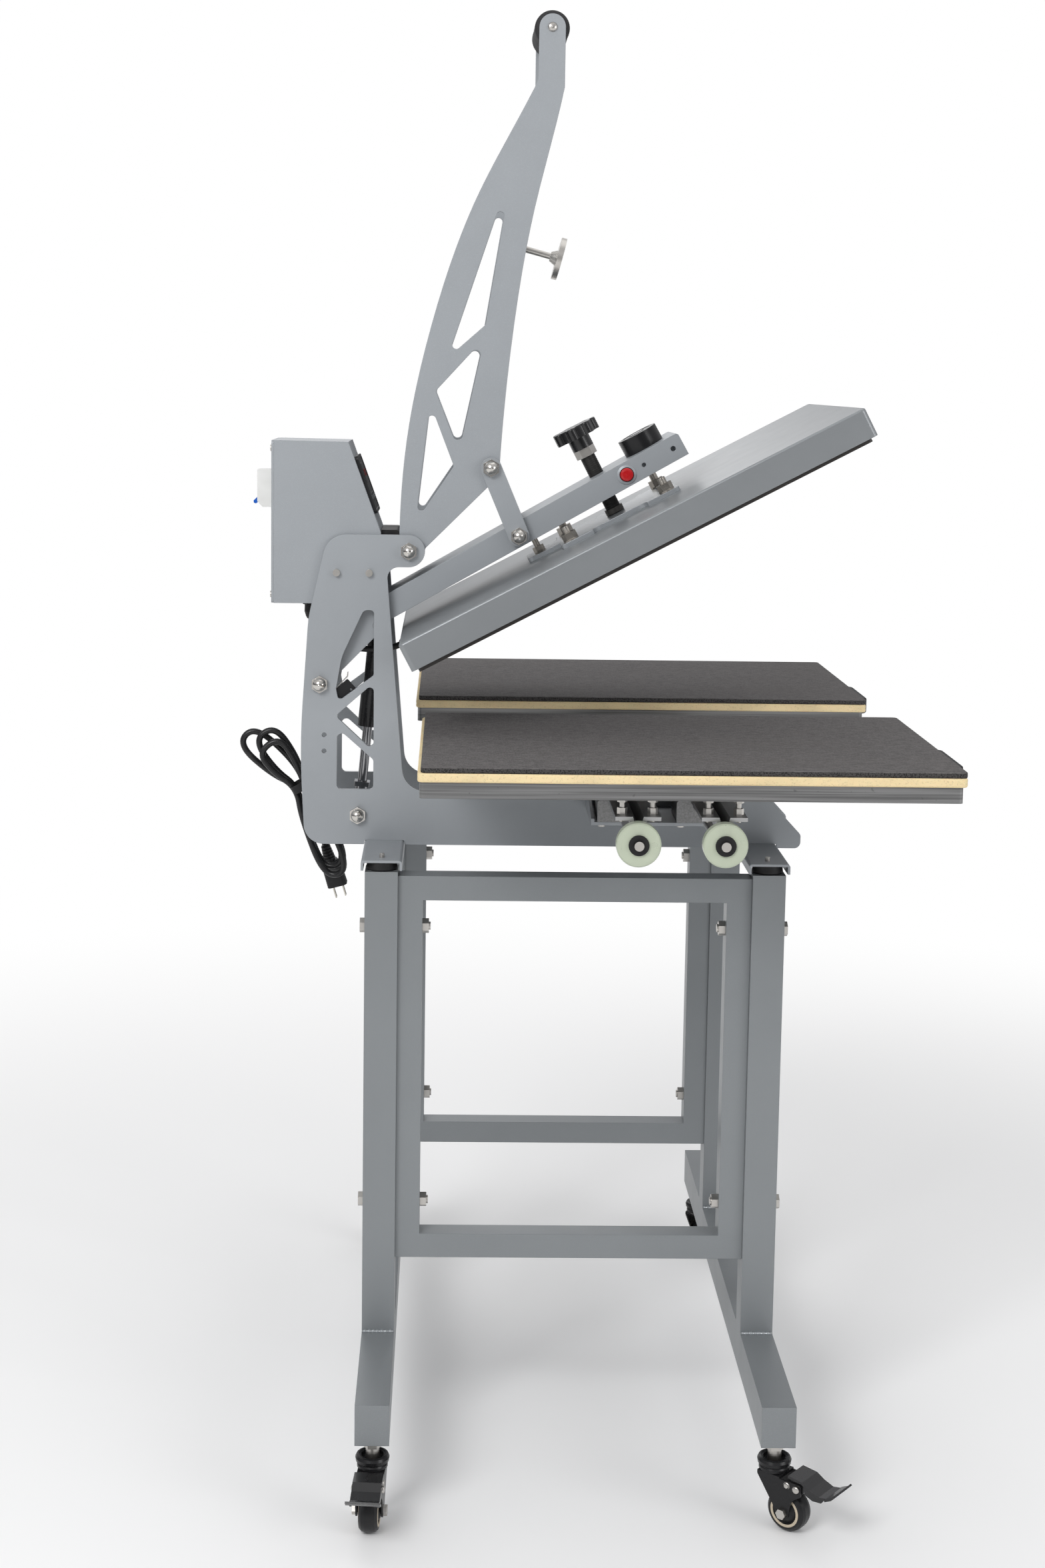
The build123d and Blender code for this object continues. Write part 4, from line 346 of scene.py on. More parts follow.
class Wiring:
    """A node tree that is being written."""

    def __init__(self, tree):
        self.tree = tree

    def node(self, kind, settings=None, sockets=None, output=0):
        """Adds a node: settings first, then its sockets, and gives one output."""
        made = self.tree.nodes.new(kind)
        for key, value in (settings or {}).items():
            if key == "stops":
                elements = made.color_ramp.elements
                elements[0].position, elements[0].color = value[0]
                elements[1].position, elements[1].color = value[-1]
                for position, tone in value[1:-1]:
                    elements.new(position).color = tone
            else:
                setattr(made, key, value)
        for key, value in (sockets or {}).items():
            self.feed(made.inputs[key], value)
        return Channel(self, made.outputs[output])

    def feed(self, socket, value):
        """Links a channel to a socket, or sets the socket's own value."""
        if isinstance(value, Channel):
            self.tree.links.new(value.output, socket)
        else:
            socket.default_value = value

    def vector(self, operation, *values, output=0):
        """One step of vector maths."""
        return self.node(
            "ShaderNodeVectorMath", {"operation": operation}, dict(enumerate(values)), output
        )

    def light_path(self, first, second):
        """Two outputs of the light path, to be joined."""
        return [self.node("ShaderNodeLightPath", output=f"Is {ray} Ray") for ray in (first, second)]

    def mix_shaders(self, mask, first, second, target):
        """Feeds a mix of two shaders to an output node."""
        mixed = self.node("ShaderNodeMixShader", {}, {0: mask, 1: first, 2: second})
        self.feed(self.tree.nodes[target].inputs["Surface"], mixed)


class Finish(Wiring):
    """A node material that is being written."""

    def __init__(self, name):
        self.material = bpy.data.materials.new(name)
        self.material.use_nodes = True
        super().__init__(self.material.node_tree)
        self.shader = self.tree.nodes["Principled BSDF"]
        # Object coordinates, in metres, which move with the piece
        self.place = self.node("ShaderNodeTexCoord", output="Object")

    def part_of(self, axis):
        """One object coordinate."""
        return self.node("ShaderNodeSeparateXYZ", sockets={0: self.place}, output=axis)

    def cloud(self, scale, detail=2.0, rough=0.5, stretch=None):
        """Soft noise from 0 to 1, stretched by axis for grain that runs one way."""
        place = self.vector("MULTIPLY", self.place, stretch) if stretch else self.place
        return self.node(
            "ShaderNodeTexNoise", {},
            {"Vector": place, "Scale": scale, "Detail": detail, "Roughness": rough},
        )

    def step(self, value, low, high):
        """0 below low, 1 above high, smooth between."""
        return self.node(
            "ShaderNodeMapRange", {"interpolation_type": "SMOOTHSTEP"},
            {"Value": value, "From Min": low, "From Max": high},
        )

    def tint(self, mask, first, second):
        """Colour that goes from first to second as mask goes from 0 to 1."""
        return self.node(
            "ShaderNodeMix", {"data_type": "RGBA"}, {0: mask, 6: first, 7: second}, output=2
        )

    def from_line(self, point, way):
        """Distance of the surface from a straight line, in metres."""
        offset = self.vector("SUBTRACT", self.place, tuple(point))
        crossed = self.vector("CROSS_PRODUCT", offset, tuple(way))
        return self.vector("LENGTH", crossed, output="Value")

    def along_line(self, point, way):
        """Distance of the surface along a direction from a point, in metres."""
        offset = self.vector("SUBTRACT", self.place, tuple(point))
        return self.vector("DOT_PRODUCT", offset, tuple(way), output="Value")

    def relief(self, height, distance, edge=0.0, strength=1.0):
        """Bump from a height of 0 to 1, over edges that may be softened."""
        sockets = {"Height": height, "Distance": distance, "Strength": strength}
        if edge > 0:
            sockets["Normal"] = self.node("ShaderNodeBevel", {"samples": 4}, {"Radius": edge})
        self.surface(Normal=self.node("ShaderNodeBump", {}, sockets))

    def surface(self, **values):
        """Sets or links the shader's sockets by name."""
        for key, value in values.items():
            self.feed(self.shader.inputs[key.replace("_", " ")], value)


# Finishes; noise scales are per metre, bump heights in metres
def powder_coat(name, tone, roughness, metallic=0.25, welds=False):
    """Silver-grey powder coat: fine grain, faint clouding, metal flakes painted lighter as their
    glint, soft rolled edges.
    """
    finish = Finish(name)
    # Light specks: the coat's metal flakes, made lighter as a painted glint.
    painted_flake_glint = finish.step(finish.cloud(2600.0, 0.0), 0.66, 0.78)
    mottled = finish.tint(finish.cloud(7.0, 3.0), shade(tone, 0.93), shade(tone, 1.07))
    finish.surface(
        Base_Color=finish.tint(painted_flake_glint * 0.28, mottled, shade(tone, 1.8)),
        Metallic=metallic,
        Roughness=finish.cloud(30.0) * 0.10 + (roughness - 0.05),
    )
    height = finish.cloud(1500.0) + finish.cloud(240.0, 1.0) * 0.8
    if welds:
        height = height + finish.cloud(60.0) * 0.8
    finish.relief(height, 0.00006, bpy.context.scene.press_sizes.edge_round, 0.7)
    return finish.material


def bright_metal(name, tone, roughness, turned=(90.0, 90.0, 90.0)):
    """Plated or ground steel, with lathe rings or fine scratches."""
    finish = Finish(name)
    grain = finish.cloud(40.0, 3.0, stretch=turned)
    patches = finish.cloud(45.0, 3.0)
    finish.surface(
        Base_Color=finish.tint(patches, shade(tone, 0.86), shade(tone, 1.12)),
        Metallic=1.0,
        Roughness=patches * 0.16 + grain * 0.08 + (roughness - 0.1),
    )
    finish.relief(grain, 0.00002, 0.0003, 0.6)
    return finish.material


def extruded(name, tone, roughness, scale, darkest=0.80):
    """Aluminium with the drawn lines of its extrusion."""
    finish = Finish(name)
    lines = finish.cloud(1.0, 3.0, 0.6, scale)
    spots = finish.step(finish.cloud(160.0, 1.0), 0.74, 0.80)
    drawn = finish.tint(finish.step(lines, 0.3, 0.7), shade(tone, darkest), shade(tone, 1.14))
    finish.surface(
        Base_Color=finish.tint(spots * 0.5, drawn, shade(tone, 0.45)),
        Metallic=0.85,
        Roughness=finish.cloud(14.0, 3.0) * 0.14 + lines * 0.1 + (roughness - 0.12),
    )
    finish.relief(lines, 0.00008, bpy.context.scene.press_sizes.edge_round, 0.7)
    return finish.material


def moulded(name, tone, roughness, grain=500.0, depth=0.00004, coat=0.0):
    """Moulded plastic or painted black metal."""
    finish = Finish(name)
    fine = finish.cloud(grain)
    broad = finish.cloud(25.0, 3.0)
    finish.surface(
        Base_Color=finish.tint(broad, shade(tone, 0.85), shade(tone, 1.2)),
        Roughness=broad * 0.12 + fine * 0.06 + (roughness - 0.08),
        Specular_IOR_Level=0.32,
        Coat_Weight=coat,
        Coat_Roughness=0.12,
    )
    finish.relief(fine, depth, 0.0005, 0.6)
    return finish.material


def rubber(name, tone, roughness=0.62):
    """Matt rubber with dust and a fine skin."""
    finish = Finish(name)
    dust = finish.step(finish.cloud(38.0, 4.0), 0.45, 0.75)
    finish.surface(
        Base_Color=finish.tint(dust * 0.35, tone, (0.06, 0.058, 0.055, 1.0)),
        Roughness=dust * 0.15 + (roughness - 0.05),
        Specular_IOR_Level=0.3,
    )
    finish.relief(finish.cloud(900.0, 3.0), 0.00007, 0.0004, 0.8)
    return finish.material


def pad_cloth(tone, top_z):
    """Dense pad: woven top in fine lines, open cells on the cut edge; the cut edge is painted
    darker as shade on its side face, with painted shade in the cells.
    """
    finish = Finish("pad_cloth")
    threads = finish.cloud(1.0, 3.0, 0.7, (90.0, 520.0, 40.0))
    cross = finish.cloud(1.0, 2.0, 0.6, (620.0, 150.0, 40.0))
    wear = finish.cloud(1.0, 4.0, 0.6, (3.0, 9.0, 1.0))
    # Side face below the top, which takes painted shade.
    on_edge = 1.0 - finish.step(finish.part_of("Z"), top_z - 0.0011, top_z - 0.0007)
    pores_with_painted_shade = finish.step(finish.cloud(620.0), 0.48, 0.60)
    weave = threads * 0.65 + cross * 0.35
    top = finish.tint(finish.step(weave, 0.36, 0.64), shade(tone, 0.74), shade(tone, 1.38))
    worn = finish.tint(finish.step(wear, 0.45, 0.75) * 0.30, top, (0.115, 0.107, 0.102, 1.0))
    # Cut edge colour: painted shade on the side face, darkest as painted shade in the open cells.
    cut = finish.tint(pores_with_painted_shade, shade(tone, 0.58), shade(tone, 0.20))
    finish.surface(
        Base_Color=finish.tint(on_edge, worn, cut),
        Roughness=wear * 0.08 + 0.80,
        Specular_IOR_Level=0.25,
    )
    finish.relief(weave * (1.0 - on_edge) + (1.0 - pores_with_painted_shade) * on_edge, 0.00022, strength=0.8)
    return finish.material


def cut_foam(tone):
    """Cream silicone foam with the torn open cells of its sawn edge, the cells painted darker as
    the shade inside them.
    """
    finish = Finish("cut_foam")
    # Open cells, painted darker as painted shade inside them.
    pores_with_painted_shade = finish.step(finish.cloud(620.0, 3.0), 0.55, 0.72)
    fine = finish.cloud(1500.0)
    broad = finish.step(finish.cloud(16.0, 3.0), 0.4, 0.8)
    stained = finish.tint(broad, shade(tone, 1.06), shade(tone, 0.86))
    finish.surface(
        Base_Color=finish.tint(pores_with_painted_shade * 0.5, stained, shade(tone, 0.62)),
        Roughness=fine * 0.1 + 0.78,
        Subsurface_Weight=0.12,
        Subsurface_Scale=0.004,
    )
    finish.relief(1.0 - pores_with_painted_shade * 0.7 + fine * 0.3, 0.0003, strength=0.9)
    return finish.material


def clear_urethane(tone):
    """Translucent bumper with the faint haze of its mould."""
    finish = Finish("clear_urethane")
    haze = finish.cloud(60.0, 3.0)
    finish.surface(
        Base_Color=finish.tint(haze, shade(tone, 0.92), shade(tone, 1.08)),
        Roughness=haze * 0.10 + 0.24,
        Transmission_Weight=0.30,
        IOR=1.48,
    )
    finish.relief(finish.cloud(400.0), 0.00004, strength=0.5)
    return finish.material


def cord_jacket(name, tone):
    """Glossy flexible jacket with slight scuffs."""
    finish = Finish(name)
    scuffs = finish.step(finish.cloud(70.0, 4.0), 0.5, 0.8)
    finish.surface(
        Base_Color=finish.tint(scuffs * 0.4, tone, (0.045, 0.045, 0.045, 1.0)),
        Roughness=scuffs * 0.2 + 0.30,
        Specular_IOR_Level=0.35,
    )
    finish.relief(finish.cloud(800.0), 0.00003, strength=0.5)
    return finish.material


def foam_grip(tone):
    """Closed foam sleeve of the grip."""
    finish = Finish("foam_grip")
    cells = finish.node("ShaderNodeTexVoronoi", {}, {"Vector": finish.place, "Scale": 900.0})
    finish.surface(
        Base_Color=finish.tint(finish.cloud(90.0, 3.0), shade(tone, 0.9), shade(tone, 1.9)),
        Roughness=0.72,
    )
    finish.relief(cells, 0.00012, strength=0.7)
    return finish.material


def heat_coating():
    """Dark coating of the heating plate."""
    finish = Finish("heat_coating")
    cloud = finish.cloud(20.0, 4.0)
    finish.surface(
        Base_Color=finish.tint(cloud, (0.018, 0.016, 0.015, 1.0), (0.04, 0.034, 0.03, 1.0)),
        Roughness=cloud * 0.12 + 0.38,
    )
    finish.relief(finish.cloud(1200.0), 0.00005, 0.0007, 0.6)
    return finish.material


def two_tone(name, mask_of, first, second):
    """Two finishes on one piece; each is (colour, metallic, roughness)."""
    finish = Finish(name)
    mask = mask_of(finish)
    fine = finish.cloud(300.0)
    blotch = finish.cloud(40.0, 3.0)
    body = finish.tint(blotch, shade(first[0], 0.88), shade(first[0], 1.12))
    other = finish.tint(blotch, shade(second[0], 0.85), shade(second[0], 1.15))
    finish.surface(
        Base_Color=finish.tint(mask, body, other),
        Metallic=mask * (second[1] - first[1]) + first[1],
        Roughness=mask * (second[2] - first[2]) + fine * 0.08 + (first[2] - 0.04),
        Specular_IOR_Level=0.28,
    )
    finish.relief(fine, 0.00003, 0.0004, 0.6)
    return finish.material


# Meshes
def linked(name, data):
    """Object of some data, in the scene."""
    piece = bpy.data.objects.new(name, data)
    bpy.context.scene.collection.objects.link(piece)
    return piece


def new_piece(name, vertices, faces, material, smooth=35.0):
    """Mesh object from vertices and faces, smooth below an angle between faces."""
    mesh = bpy.data.meshes.new(name)
    mesh.from_pydata([tuple(v) for v in vertices], [], faces)
    mesh.validate()
    mesh.materials.append(material)
    mesh.shade_smooth()
    mesh.set_sharp_from_angle(angle=math.radians(smooth))
    return linked(name, mesh)


def ring_faces(count, rings, closed=False):
    """Faces between rings of points, with the first and last ring filled unless closed."""
    faces = []
    for ring in range(rings if closed else rings - 1):
        low, high = ring * count, ((ring + 1) % rings) * count
        for k in range(count):
            nxt = (k + 1) % count
            faces.append((low + k, low + nxt, high + nxt, high + k))
    if not closed:
        faces.append(tuple(reversed(range(count))))
        faces.append(tuple(range((rings - 1) * count, rings * count)))
    return faces


def around(steps):
    """Cosine and sine of evenly spaced turns."""
    turns = [2 * math.pi * k / steps for k in range(steps)]
    return [(math.cos(turn), math.sin(turn)) for turn in turns]


def side_vectors(way):
    """Two directions across a direction."""
    across = way.cross(FAR_WAY)
    if across.length < 0.1:
        across = way.cross(Vector((1.0, 0.0, 0.0)))
    across.normalize()
    return across, way.cross(across)


def turned_piece(name, start, way, outline, material, steps=48, closed=False, smooth=35.0):
    """Piece of revolution from (radius, along) points in millimetres."""
    way = way.normalized()
    across, up = side_vectors(way)
    vertices = []
    for radius, along in outline:
        middle = start + way * along * MM
        for x, y in around(steps):
            vertices.append(middle + (across * x + up * y) * radius * MM)
    return new_piece(name, vertices, ring_faces(steps, len(outline), closed), material, smooth)


def threaded_piece(name, start, way, radius, depth, run, pitch, material, steps=28):
    """Threaded rod: its surface rises and falls along a helix."""
    way = way.normalized()
    across, up = side_vectors(way)
    rings = max(2, int(run / pitch * 6))
    vertices = []
    for ring in range(rings + 1):
        along = run * ring / rings
        taper = min(1.0, min(along, run - along) / pitch)
        for k, (x, y) in enumerate(around(steps)):
            phase = (along / pitch - k / steps) % 1.0
            cut = depth * (1.0 - abs(2 * phase - 1.0)) * taper + depth * (1 - taper)
            out = (across * x + up * y) * (radius - cut)
            vertices.append(start + (way * along + out) * MM)
    return new_piece(name, vertices, ring_faces(steps, rings + 1), material, 50.0)


def rounded_outline(size_x, size_y, radius, inset):
    """Closed outline of a rounded rectangle, with the same count for every inset."""
    corner = max(0.4, radius - inset)
    half_x, half_y = size_x / 2 - inset - corner, size_y / 2 - inset - corner
    arcs = []
    for sx, sy, start in ((1, 1, 0), (-1, 1, 90), (-1, -1, 180), (1, -1, 270)):
        arc = []
        for angle in (math.radians(start + 15 * k) for k in range(7)):
            x, y = corner * math.cos(angle), corner * math.sin(angle)
            arc.append((sx * half_x + x, sy * half_y + y))
        arcs.append(arc)
    points = []
    for index, arc in enumerate(arcs):
        points += arc
        (x, y), (next_x, next_y) = arc[-1], arcs[(index + 1) % 4][0]
        sides = int((size_x, size_y)[index % 2] / OUTLINE_STEP)
        for k in range(1, sides):
            points.append((x + (next_x - x) * k / sides, y + (next_y - y) * k / sides))
    return points


def sheet_piece(name, middle, size, corner, profile, material, ripple, crown=0.0):
    """Flat soft sheet: a rounded outline carried up its edge and in over its top."""
    thick = profile[-1][0]
    insets = (*TOP_INSETS, size[1] / 2 - 30.0, size[1] / 2 - 3.0)
    rings = [*profile, *((thick, inset) for inset in insets)]
    vertices = []
    for height, inset in rings:
        outline = rounded_outline(*size, corner, inset)
        on_top = height >= thick - 0.01
        on_edge = inset < 3 and 0.1 < height < thick - 0.1
        crowned = height + crown / MM * min(1.0, inset / CROWN_RUN)
        for x, y in outline:
            spot = Vector((middle[0] / MM + x, middle[1] / MM + y, height))
            torn = Vector((spot.x * 0.35, spot.y * 0.35, spot.z * 0.8 + 7.0))
            tear = abs(noise.noise(torn)) * ripple if on_edge else 0.0
            sway = (noise.noise(spot * 0.021) - 1.0) * ripple if on_top else 0.0
            way = Vector((x, y, 0.0)).normalized()
            vertices.append(
                (
                    middle[0] + (x - way.x * tear) * MM,
                    middle[1] + (y - way.y * tear) * MM,
                    middle[2] + (crowned + sway) * MM,
                )
            )
    return new_piece(name, vertices, ring_faces(len(outline), len(rings)), material, 48.0)


def slab_piece(name, middle, across, up, outline, thick, material):
    """Thin plate: an outline in millimetres on a plane, raised by its thickness."""
    normal = across.cross(up).normalized()
    vertices = []
    for rise, draw in ((0.0, 1.0), (thick * 0.6, 1.0), (thick, 0.985)):
        for x, y in outline:
            vertices.append(middle + (across * x * draw + up * y * draw + normal * rise) * MM)
    return new_piece(name, vertices, ring_faces(len(outline), 3), material, 30.0)


def rectangle(x, y, wide, tall):
    """Outline of a rectangle about its middle."""
    left, right, low, high = x - wide / 2, x + wide / 2, y - tall / 2, y + tall / 2
    return [(left, low), (right, low), (right, high), (left, high)]


def spline_piece(name, points, radius, material):
    """Round cord along one smooth spline, in metres."""
    curve = bpy.data.curves.new(name, "CURVE")
    curve.dimensions = "3D"
    spline = curve.splines.new("NURBS")
    spline.points.add(len(points) - 1)
    for point, place in zip(spline.points, points):
        point.co = (*place, 1.0)
    spline.order_u = 3
    spline.use_endpoint_u = True
    curve.resolution_u = 10
    curve.bevel_depth = radius
    curve.bevel_resolution = 6
    curve.use_fill_caps = True
    curve.materials.append(material)
    return linked(name, curve)


def dress(material, *nodes):
    """Gives CAD nodes a finish."""
    for name in nodes:
        for slot in frame["nodes"][name].material_slots:
            slot.material = material


def seated(piece, body):
    """A new piece rides on a body."""
    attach(piece, body)


def joint_place(name):
    """Point and axis of a joint."""
    for joint in frame["joints"]:
        if joint["name"] == name:
            return Vector(joint["pos_m"]), Vector(joint["axis"])
    raise ValueError("no joint " + name)


def hank_place(lean, along, across, layer):
    """Point of the hank, along and across its own lean from the waist, in metres."""
    turn = math.radians(lean)
    x = WAIST[0] - along * math.sin(turn) + across * math.cos(turn)
    z = WAIST[1] + along * math.cos(turn) + across * math.sin(turn)
    return (x * MM, (FIRST_LAYER_Y + layer * LAYER_STEP) * MM, BENCH_Z + z * MM)


def mains_route():
    """Points of the mains cord from the gland to the plug."""
    points = [
        (-0.332, -0.045, BENCH_Z + 0.273),
        (-0.332, -0.045, BENCH_Z + 0.258),
        (-0.3335, -0.0455, BENCH_Z + 0.236),
        (-0.337, -0.048, BENCH_Z + 0.196),
        (-0.3375, -0.054, BENCH_Z + 0.150),
        (-0.337, -0.059, BENCH_Z + 0.104),
        hank_place(WAIST_LEAN, 0, STRAND_OFFSET, 0),
    ]
    for layer, (top_lean, top_reach, bottom_reach) in enumerate(HANK_TURNS):
        points += [
            hank_place(BOTTOM_LEAN, -40, HANK_NECK_HALF, layer),
            hank_place(BOTTOM_LEAN, -bottom_reach, HANK_BOTTOM_HALF, layer),
            hank_place(BOTTOM_LEAN, -bottom_reach, -HANK_BOTTOM_HALF, layer + 1),
            hank_place(BOTTOM_LEAN, -40, -HANK_NECK_HALF, layer + 1),
            hank_place(WAIST_LEAN, 0, -STRAND_OFFSET, layer + 1),
            hank_place(top_lean, 34, -HANK_TOP_HALF, layer + 1),
            hank_place(top_lean, top_reach, -HANK_TOP_HALF, layer + 1),
            hank_place(top_lean, top_reach, HANK_TOP_HALF, layer + 1),
            hank_place(top_lean, 34, HANK_TOP_HALF, layer + 1),
            hank_place(WAIST_LEAN, 0, STRAND_OFFSET, layer + 1),
        ]
    points += [
        ((WAIST[0] + 18.5) * MM, -0.020, BENCH_Z + (WAIST[1] - 45) * MM),
        ((WAIST[0] + 30) * MM, -0.012, BENCH_Z + (WAIST[1] - 85) * MM),
    ]
    return points


def tie_points():
    """Rings of the tie, a rounded square around the waist of the hank."""
    across, along = leaning_ways(math.radians(WAIST_LEAN))
    middle_y = FIRST_LAYER_Y + 1.5 * LAYER_STEP
    middle = Vector((WAIST[0] * MM, middle_y * MM, BENCH_Z + WAIST[1] * MM))
    points = []
    for reach, rise in TIE_SECTION:
        for shares in around(TIE_STEPS):
            x, y = (
                math.copysign(abs(share) ** TIE_SQUARENESS, share) * (half + reach)
                for share, half in zip(shares, TIE_HALF)
            )
            points.append(middle + (across * x + FAR_WAY * y + along * rise) * MM)
    return points


def weld_points(middle_x, y, out, scale_length):
    """Rings of a weld bead along X, which swells once for each weld scale."""
    points = []
    for ring in range(WELD_RINGS):
        x = middle_x - WELD_HALF + 2 * WELD_HALF * ring / (WELD_RINGS - 1)
        scale = abs(math.sin(math.pi * (x + 300.0) / scale_length))
        taper = min(1.0, min(ring, WELD_RINGS - 1 - ring) / 3.0)
        swell = 1.8 + 0.9 * scale + 0.3 * noise.noise(Vector((x * 0.3, y, 3.0)))
        radius = swell * (0.35 + 0.65 * taper)
        for level, rise in around(WELD_SIDES):
            spot = (x + 0.5 * level, y + out * WELD_OUT + radius * level, WELD_Z + radius * rise)
            points.append([part * MM for part in spot])
    return points


# Operators, one for each piece or group of like pieces
class HEATPRESS_OT_stage(bpy.types.Operator):
    """Floor, soft lamps, world light and the camera of the photograph"""

    bl_idname = "heatpress.stage"
    bl_label = "Studio stage"

    def execute(self, context):
        context.scene.view_settings.view_transform = "Standard"
        self.lay_floor()
        self.light_world(context.scene)
        for name, spot, size, power in LAMPS:
            data = bpy.data.lights.new(name, "AREA")
            data.shape = "SQUARE"
            data.size = size
            data.energy = power
            lamp = linked(name, data)
            lamp.location = spot
            lamp.rotation_euler = (LAMP_AIM - Vector(spot)).to_track_quat("-Z", "Y").to_euler()
        self.set_camera(context.scene)
        return {"FINISHED"}

    def lay_floor(self):
        """Floor that fades into white away from the press, where it is seen."""
        finish = Finish("studio_floor")
        away = finish.vector("LENGTH", finish.place, output="Value")
        camera_ray, glossy_ray = finish.light_path("Camera", "Glossy")
        seen = finish.node("ShaderNodeClamp", {}, {"Value": camera_ray + glossy_ray})
        finish.surface(Base_Color=tone_of("floor"), Roughness=0.8)
        white = finish.node("ShaderNodeEmission", {}, {"Color": WHITE, "Strength": 1.0})
        lit = Channel(finish, finish.shader.outputs[0])
        finish.mix_shaders(finish.step(away, *FLOOR_FADE) * seen, lit, white, "Material Output")
        corners = [(x * FLOOR_HALF, y * FLOOR_HALF, 0.0) for x, y in rectangle(0, 0, 2, 2)]
        floor = new_piece("floor", corners, [(0, 1, 2, 3)], finish.material)

    def light_world(self, scene):
        """World light in soft bands, plain white where the camera looks at it."""
        world = bpy.data.worlds.new("studio_world")
        scene.world = world
        world.use_nodes = True
        wiring = Wiring(world.node_tree)
        sky = wiring.node("ShaderNodeTexCoord", output="Generated")
        height = wiring.node("ShaderNodeSeparateXYZ", sockets={0: sky}, output="Z")
        raised = wiring.node("ShaderNodeMapRange", {}, {"Value": height, "From Min": -1.0})
        bands = wiring.node("ShaderNodeValToRGB", {"stops": SKY_BANDS}, {0: raised})
        light = wiring.tree.nodes["Background"]
        wiring.feed(light.inputs["Color"], bands)
        wiring.feed(light.inputs["Strength"], SKY_STRENGTH)
        white = wiring.node("ShaderNodeBackground", {}, {"Color": WHITE, "Strength": 1.0})
        camera_ray, glass_ray = wiring.light_path("Camera", "Transmission")
        seen = camera_ray.worked("MAXIMUM", camera_ray, glass_ray)
        wiring.mix_shaders(seen, Channel(wiring, light.outputs[0]), white, "World Output")

    def set_camera(self, scene):
        """Camera that was fitted to the photograph."""
        data = bpy.data.cameras.new("photo_camera")
        data.sensor_fit = "VERTICAL"
        data.sensor_height = FILM_HEIGHT
        data.lens = FILM_HEIGHT * PHOTO_FOCAL / PHOTO_HEIGHT
        data.shift_x, data.shift_y = (shift / PHOTO_HEIGHT for shift in PHOTO_SHIFT)
        data.clip_end = 60.0
        camera = linked("photo_camera", data)
        pitch, yaw, roll = (math.radians(angle) for angle in CAMERA_TURNS)
        turn = (
            Matrix.Rotation(-yaw, 4, "Z")
            @ Matrix.Rotation(math.pi / 2 - pitch, 4, "X")
            @ Matrix.Rotation(roll, 4, "Z")
        )
        camera.matrix_world = Matrix.Translation(CAMERA_PLACE) @ turn
        scene.camera = camera


class HEATPRESS_OT_mains_cord(bpy.types.Operator):
    """Mains cord from its gland into the tied hank, its tie and its plug"""

    bl_idname = "heatpress.mains_cord"
    bl_label = "Mains cord"

    def execute(self, context):
        sizes = context.scene.press_sizes
        black = tone_of("black")
        jacket = cord_jacket("cord_jacket", black)
        route = mains_route()
        cord = spline_piece("mains_cord", route, sizes.cord_diameter / 2, jacket)
        seated(cord, "stand")
        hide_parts("power_cord", "cord_hank")

        cloth = rubber("tie_band", shade(black, 1.4), 0.8)
        faces = ring_faces(TIE_STEPS, len(TIE_SECTION), closed=True)
        tie = new_piece("hank_tie", tie_points(), faces, cloth, 40.0)
        seated(tie, "stand")

        plug_way = (Vector(route[-1]) - Vector(route[-2])).normalized()
        plug = two_tone(
            "plug_finish",
            lambda finish: finish.along_line(route[-1], plug_way) > PLUG_BODY,
            (black, 0.0, 0.42),
            ((0.60, 0.57, 0.50), 1.0, 0.30),
        )
        dress(plug, "cord_plug")
        dress(moulded("gland_nylon", black, 0.5), "cable_gland")
        return {"FINISHED"}


class HEATPRESS_OT_platen_lead(bpy.types.Operator):
    """Short heat-proof lead from the platen cover up into the arm, with its gland"""

    bl_idname = "heatpress.platen_lead"
    bl_label = "Platen lead"

    def execute(self, context):
        black = tone_of("black")
        points = [tuple(platen_place(*point)) for point in LEAD_POINTS]
        jacket = cord_jacket("lead_jacket", black)
        lead = spline_piece("platen_lead_cable", points, LEAD_DIAMETER / 2, jacket)
        seated(lead, "platen")
        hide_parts("platen_lead")
        gland = turned_piece(
            "platen_gland",
            platen_place(*GLAND_PLACE),
            -PLATEN_WAY,
            GLAND_OUTLINE,
            moulded("lead_gland", black, 0.5),
            closed=True,
        )
        seated(gland, "platen")
        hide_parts("platen_lead")
        return {"FINISHED"}


class HEATPRESS_OT_painted_steel(bpy.types.Operator):
    """Powder coats of the press, the platen cover and the stand"""

    bl_idname = "heatpress.painted_steel"
    bl_label = "Painted steel"

    def execute(self, context):
        dress(
            powder_coat("press_powder_coat", tone_of("press_paint"), 0.44),
            "side_plate_near", "side_plate_far", "arm_beam", "handle_frame", "link_plates",
            "control_box_shell", "control_box_back", "bearing_brackets", "base_channels",
        )
        platen = tone_of("platen_paint")
        dress(powder_coat("platen_paint", platen, 0.32, 0.3), "platen_cover")
        dress(powder_coat("suspension_paint", shade(platen, 1.7), 0.24, 0.6), "suspension_plate")
        stand = powder_coat("stand_powder_coat", tone_of("stand_paint"), 0.38, 0.35)
        dress(stand, "leg_frames", "side_frames")
        return {"FINISHED"}


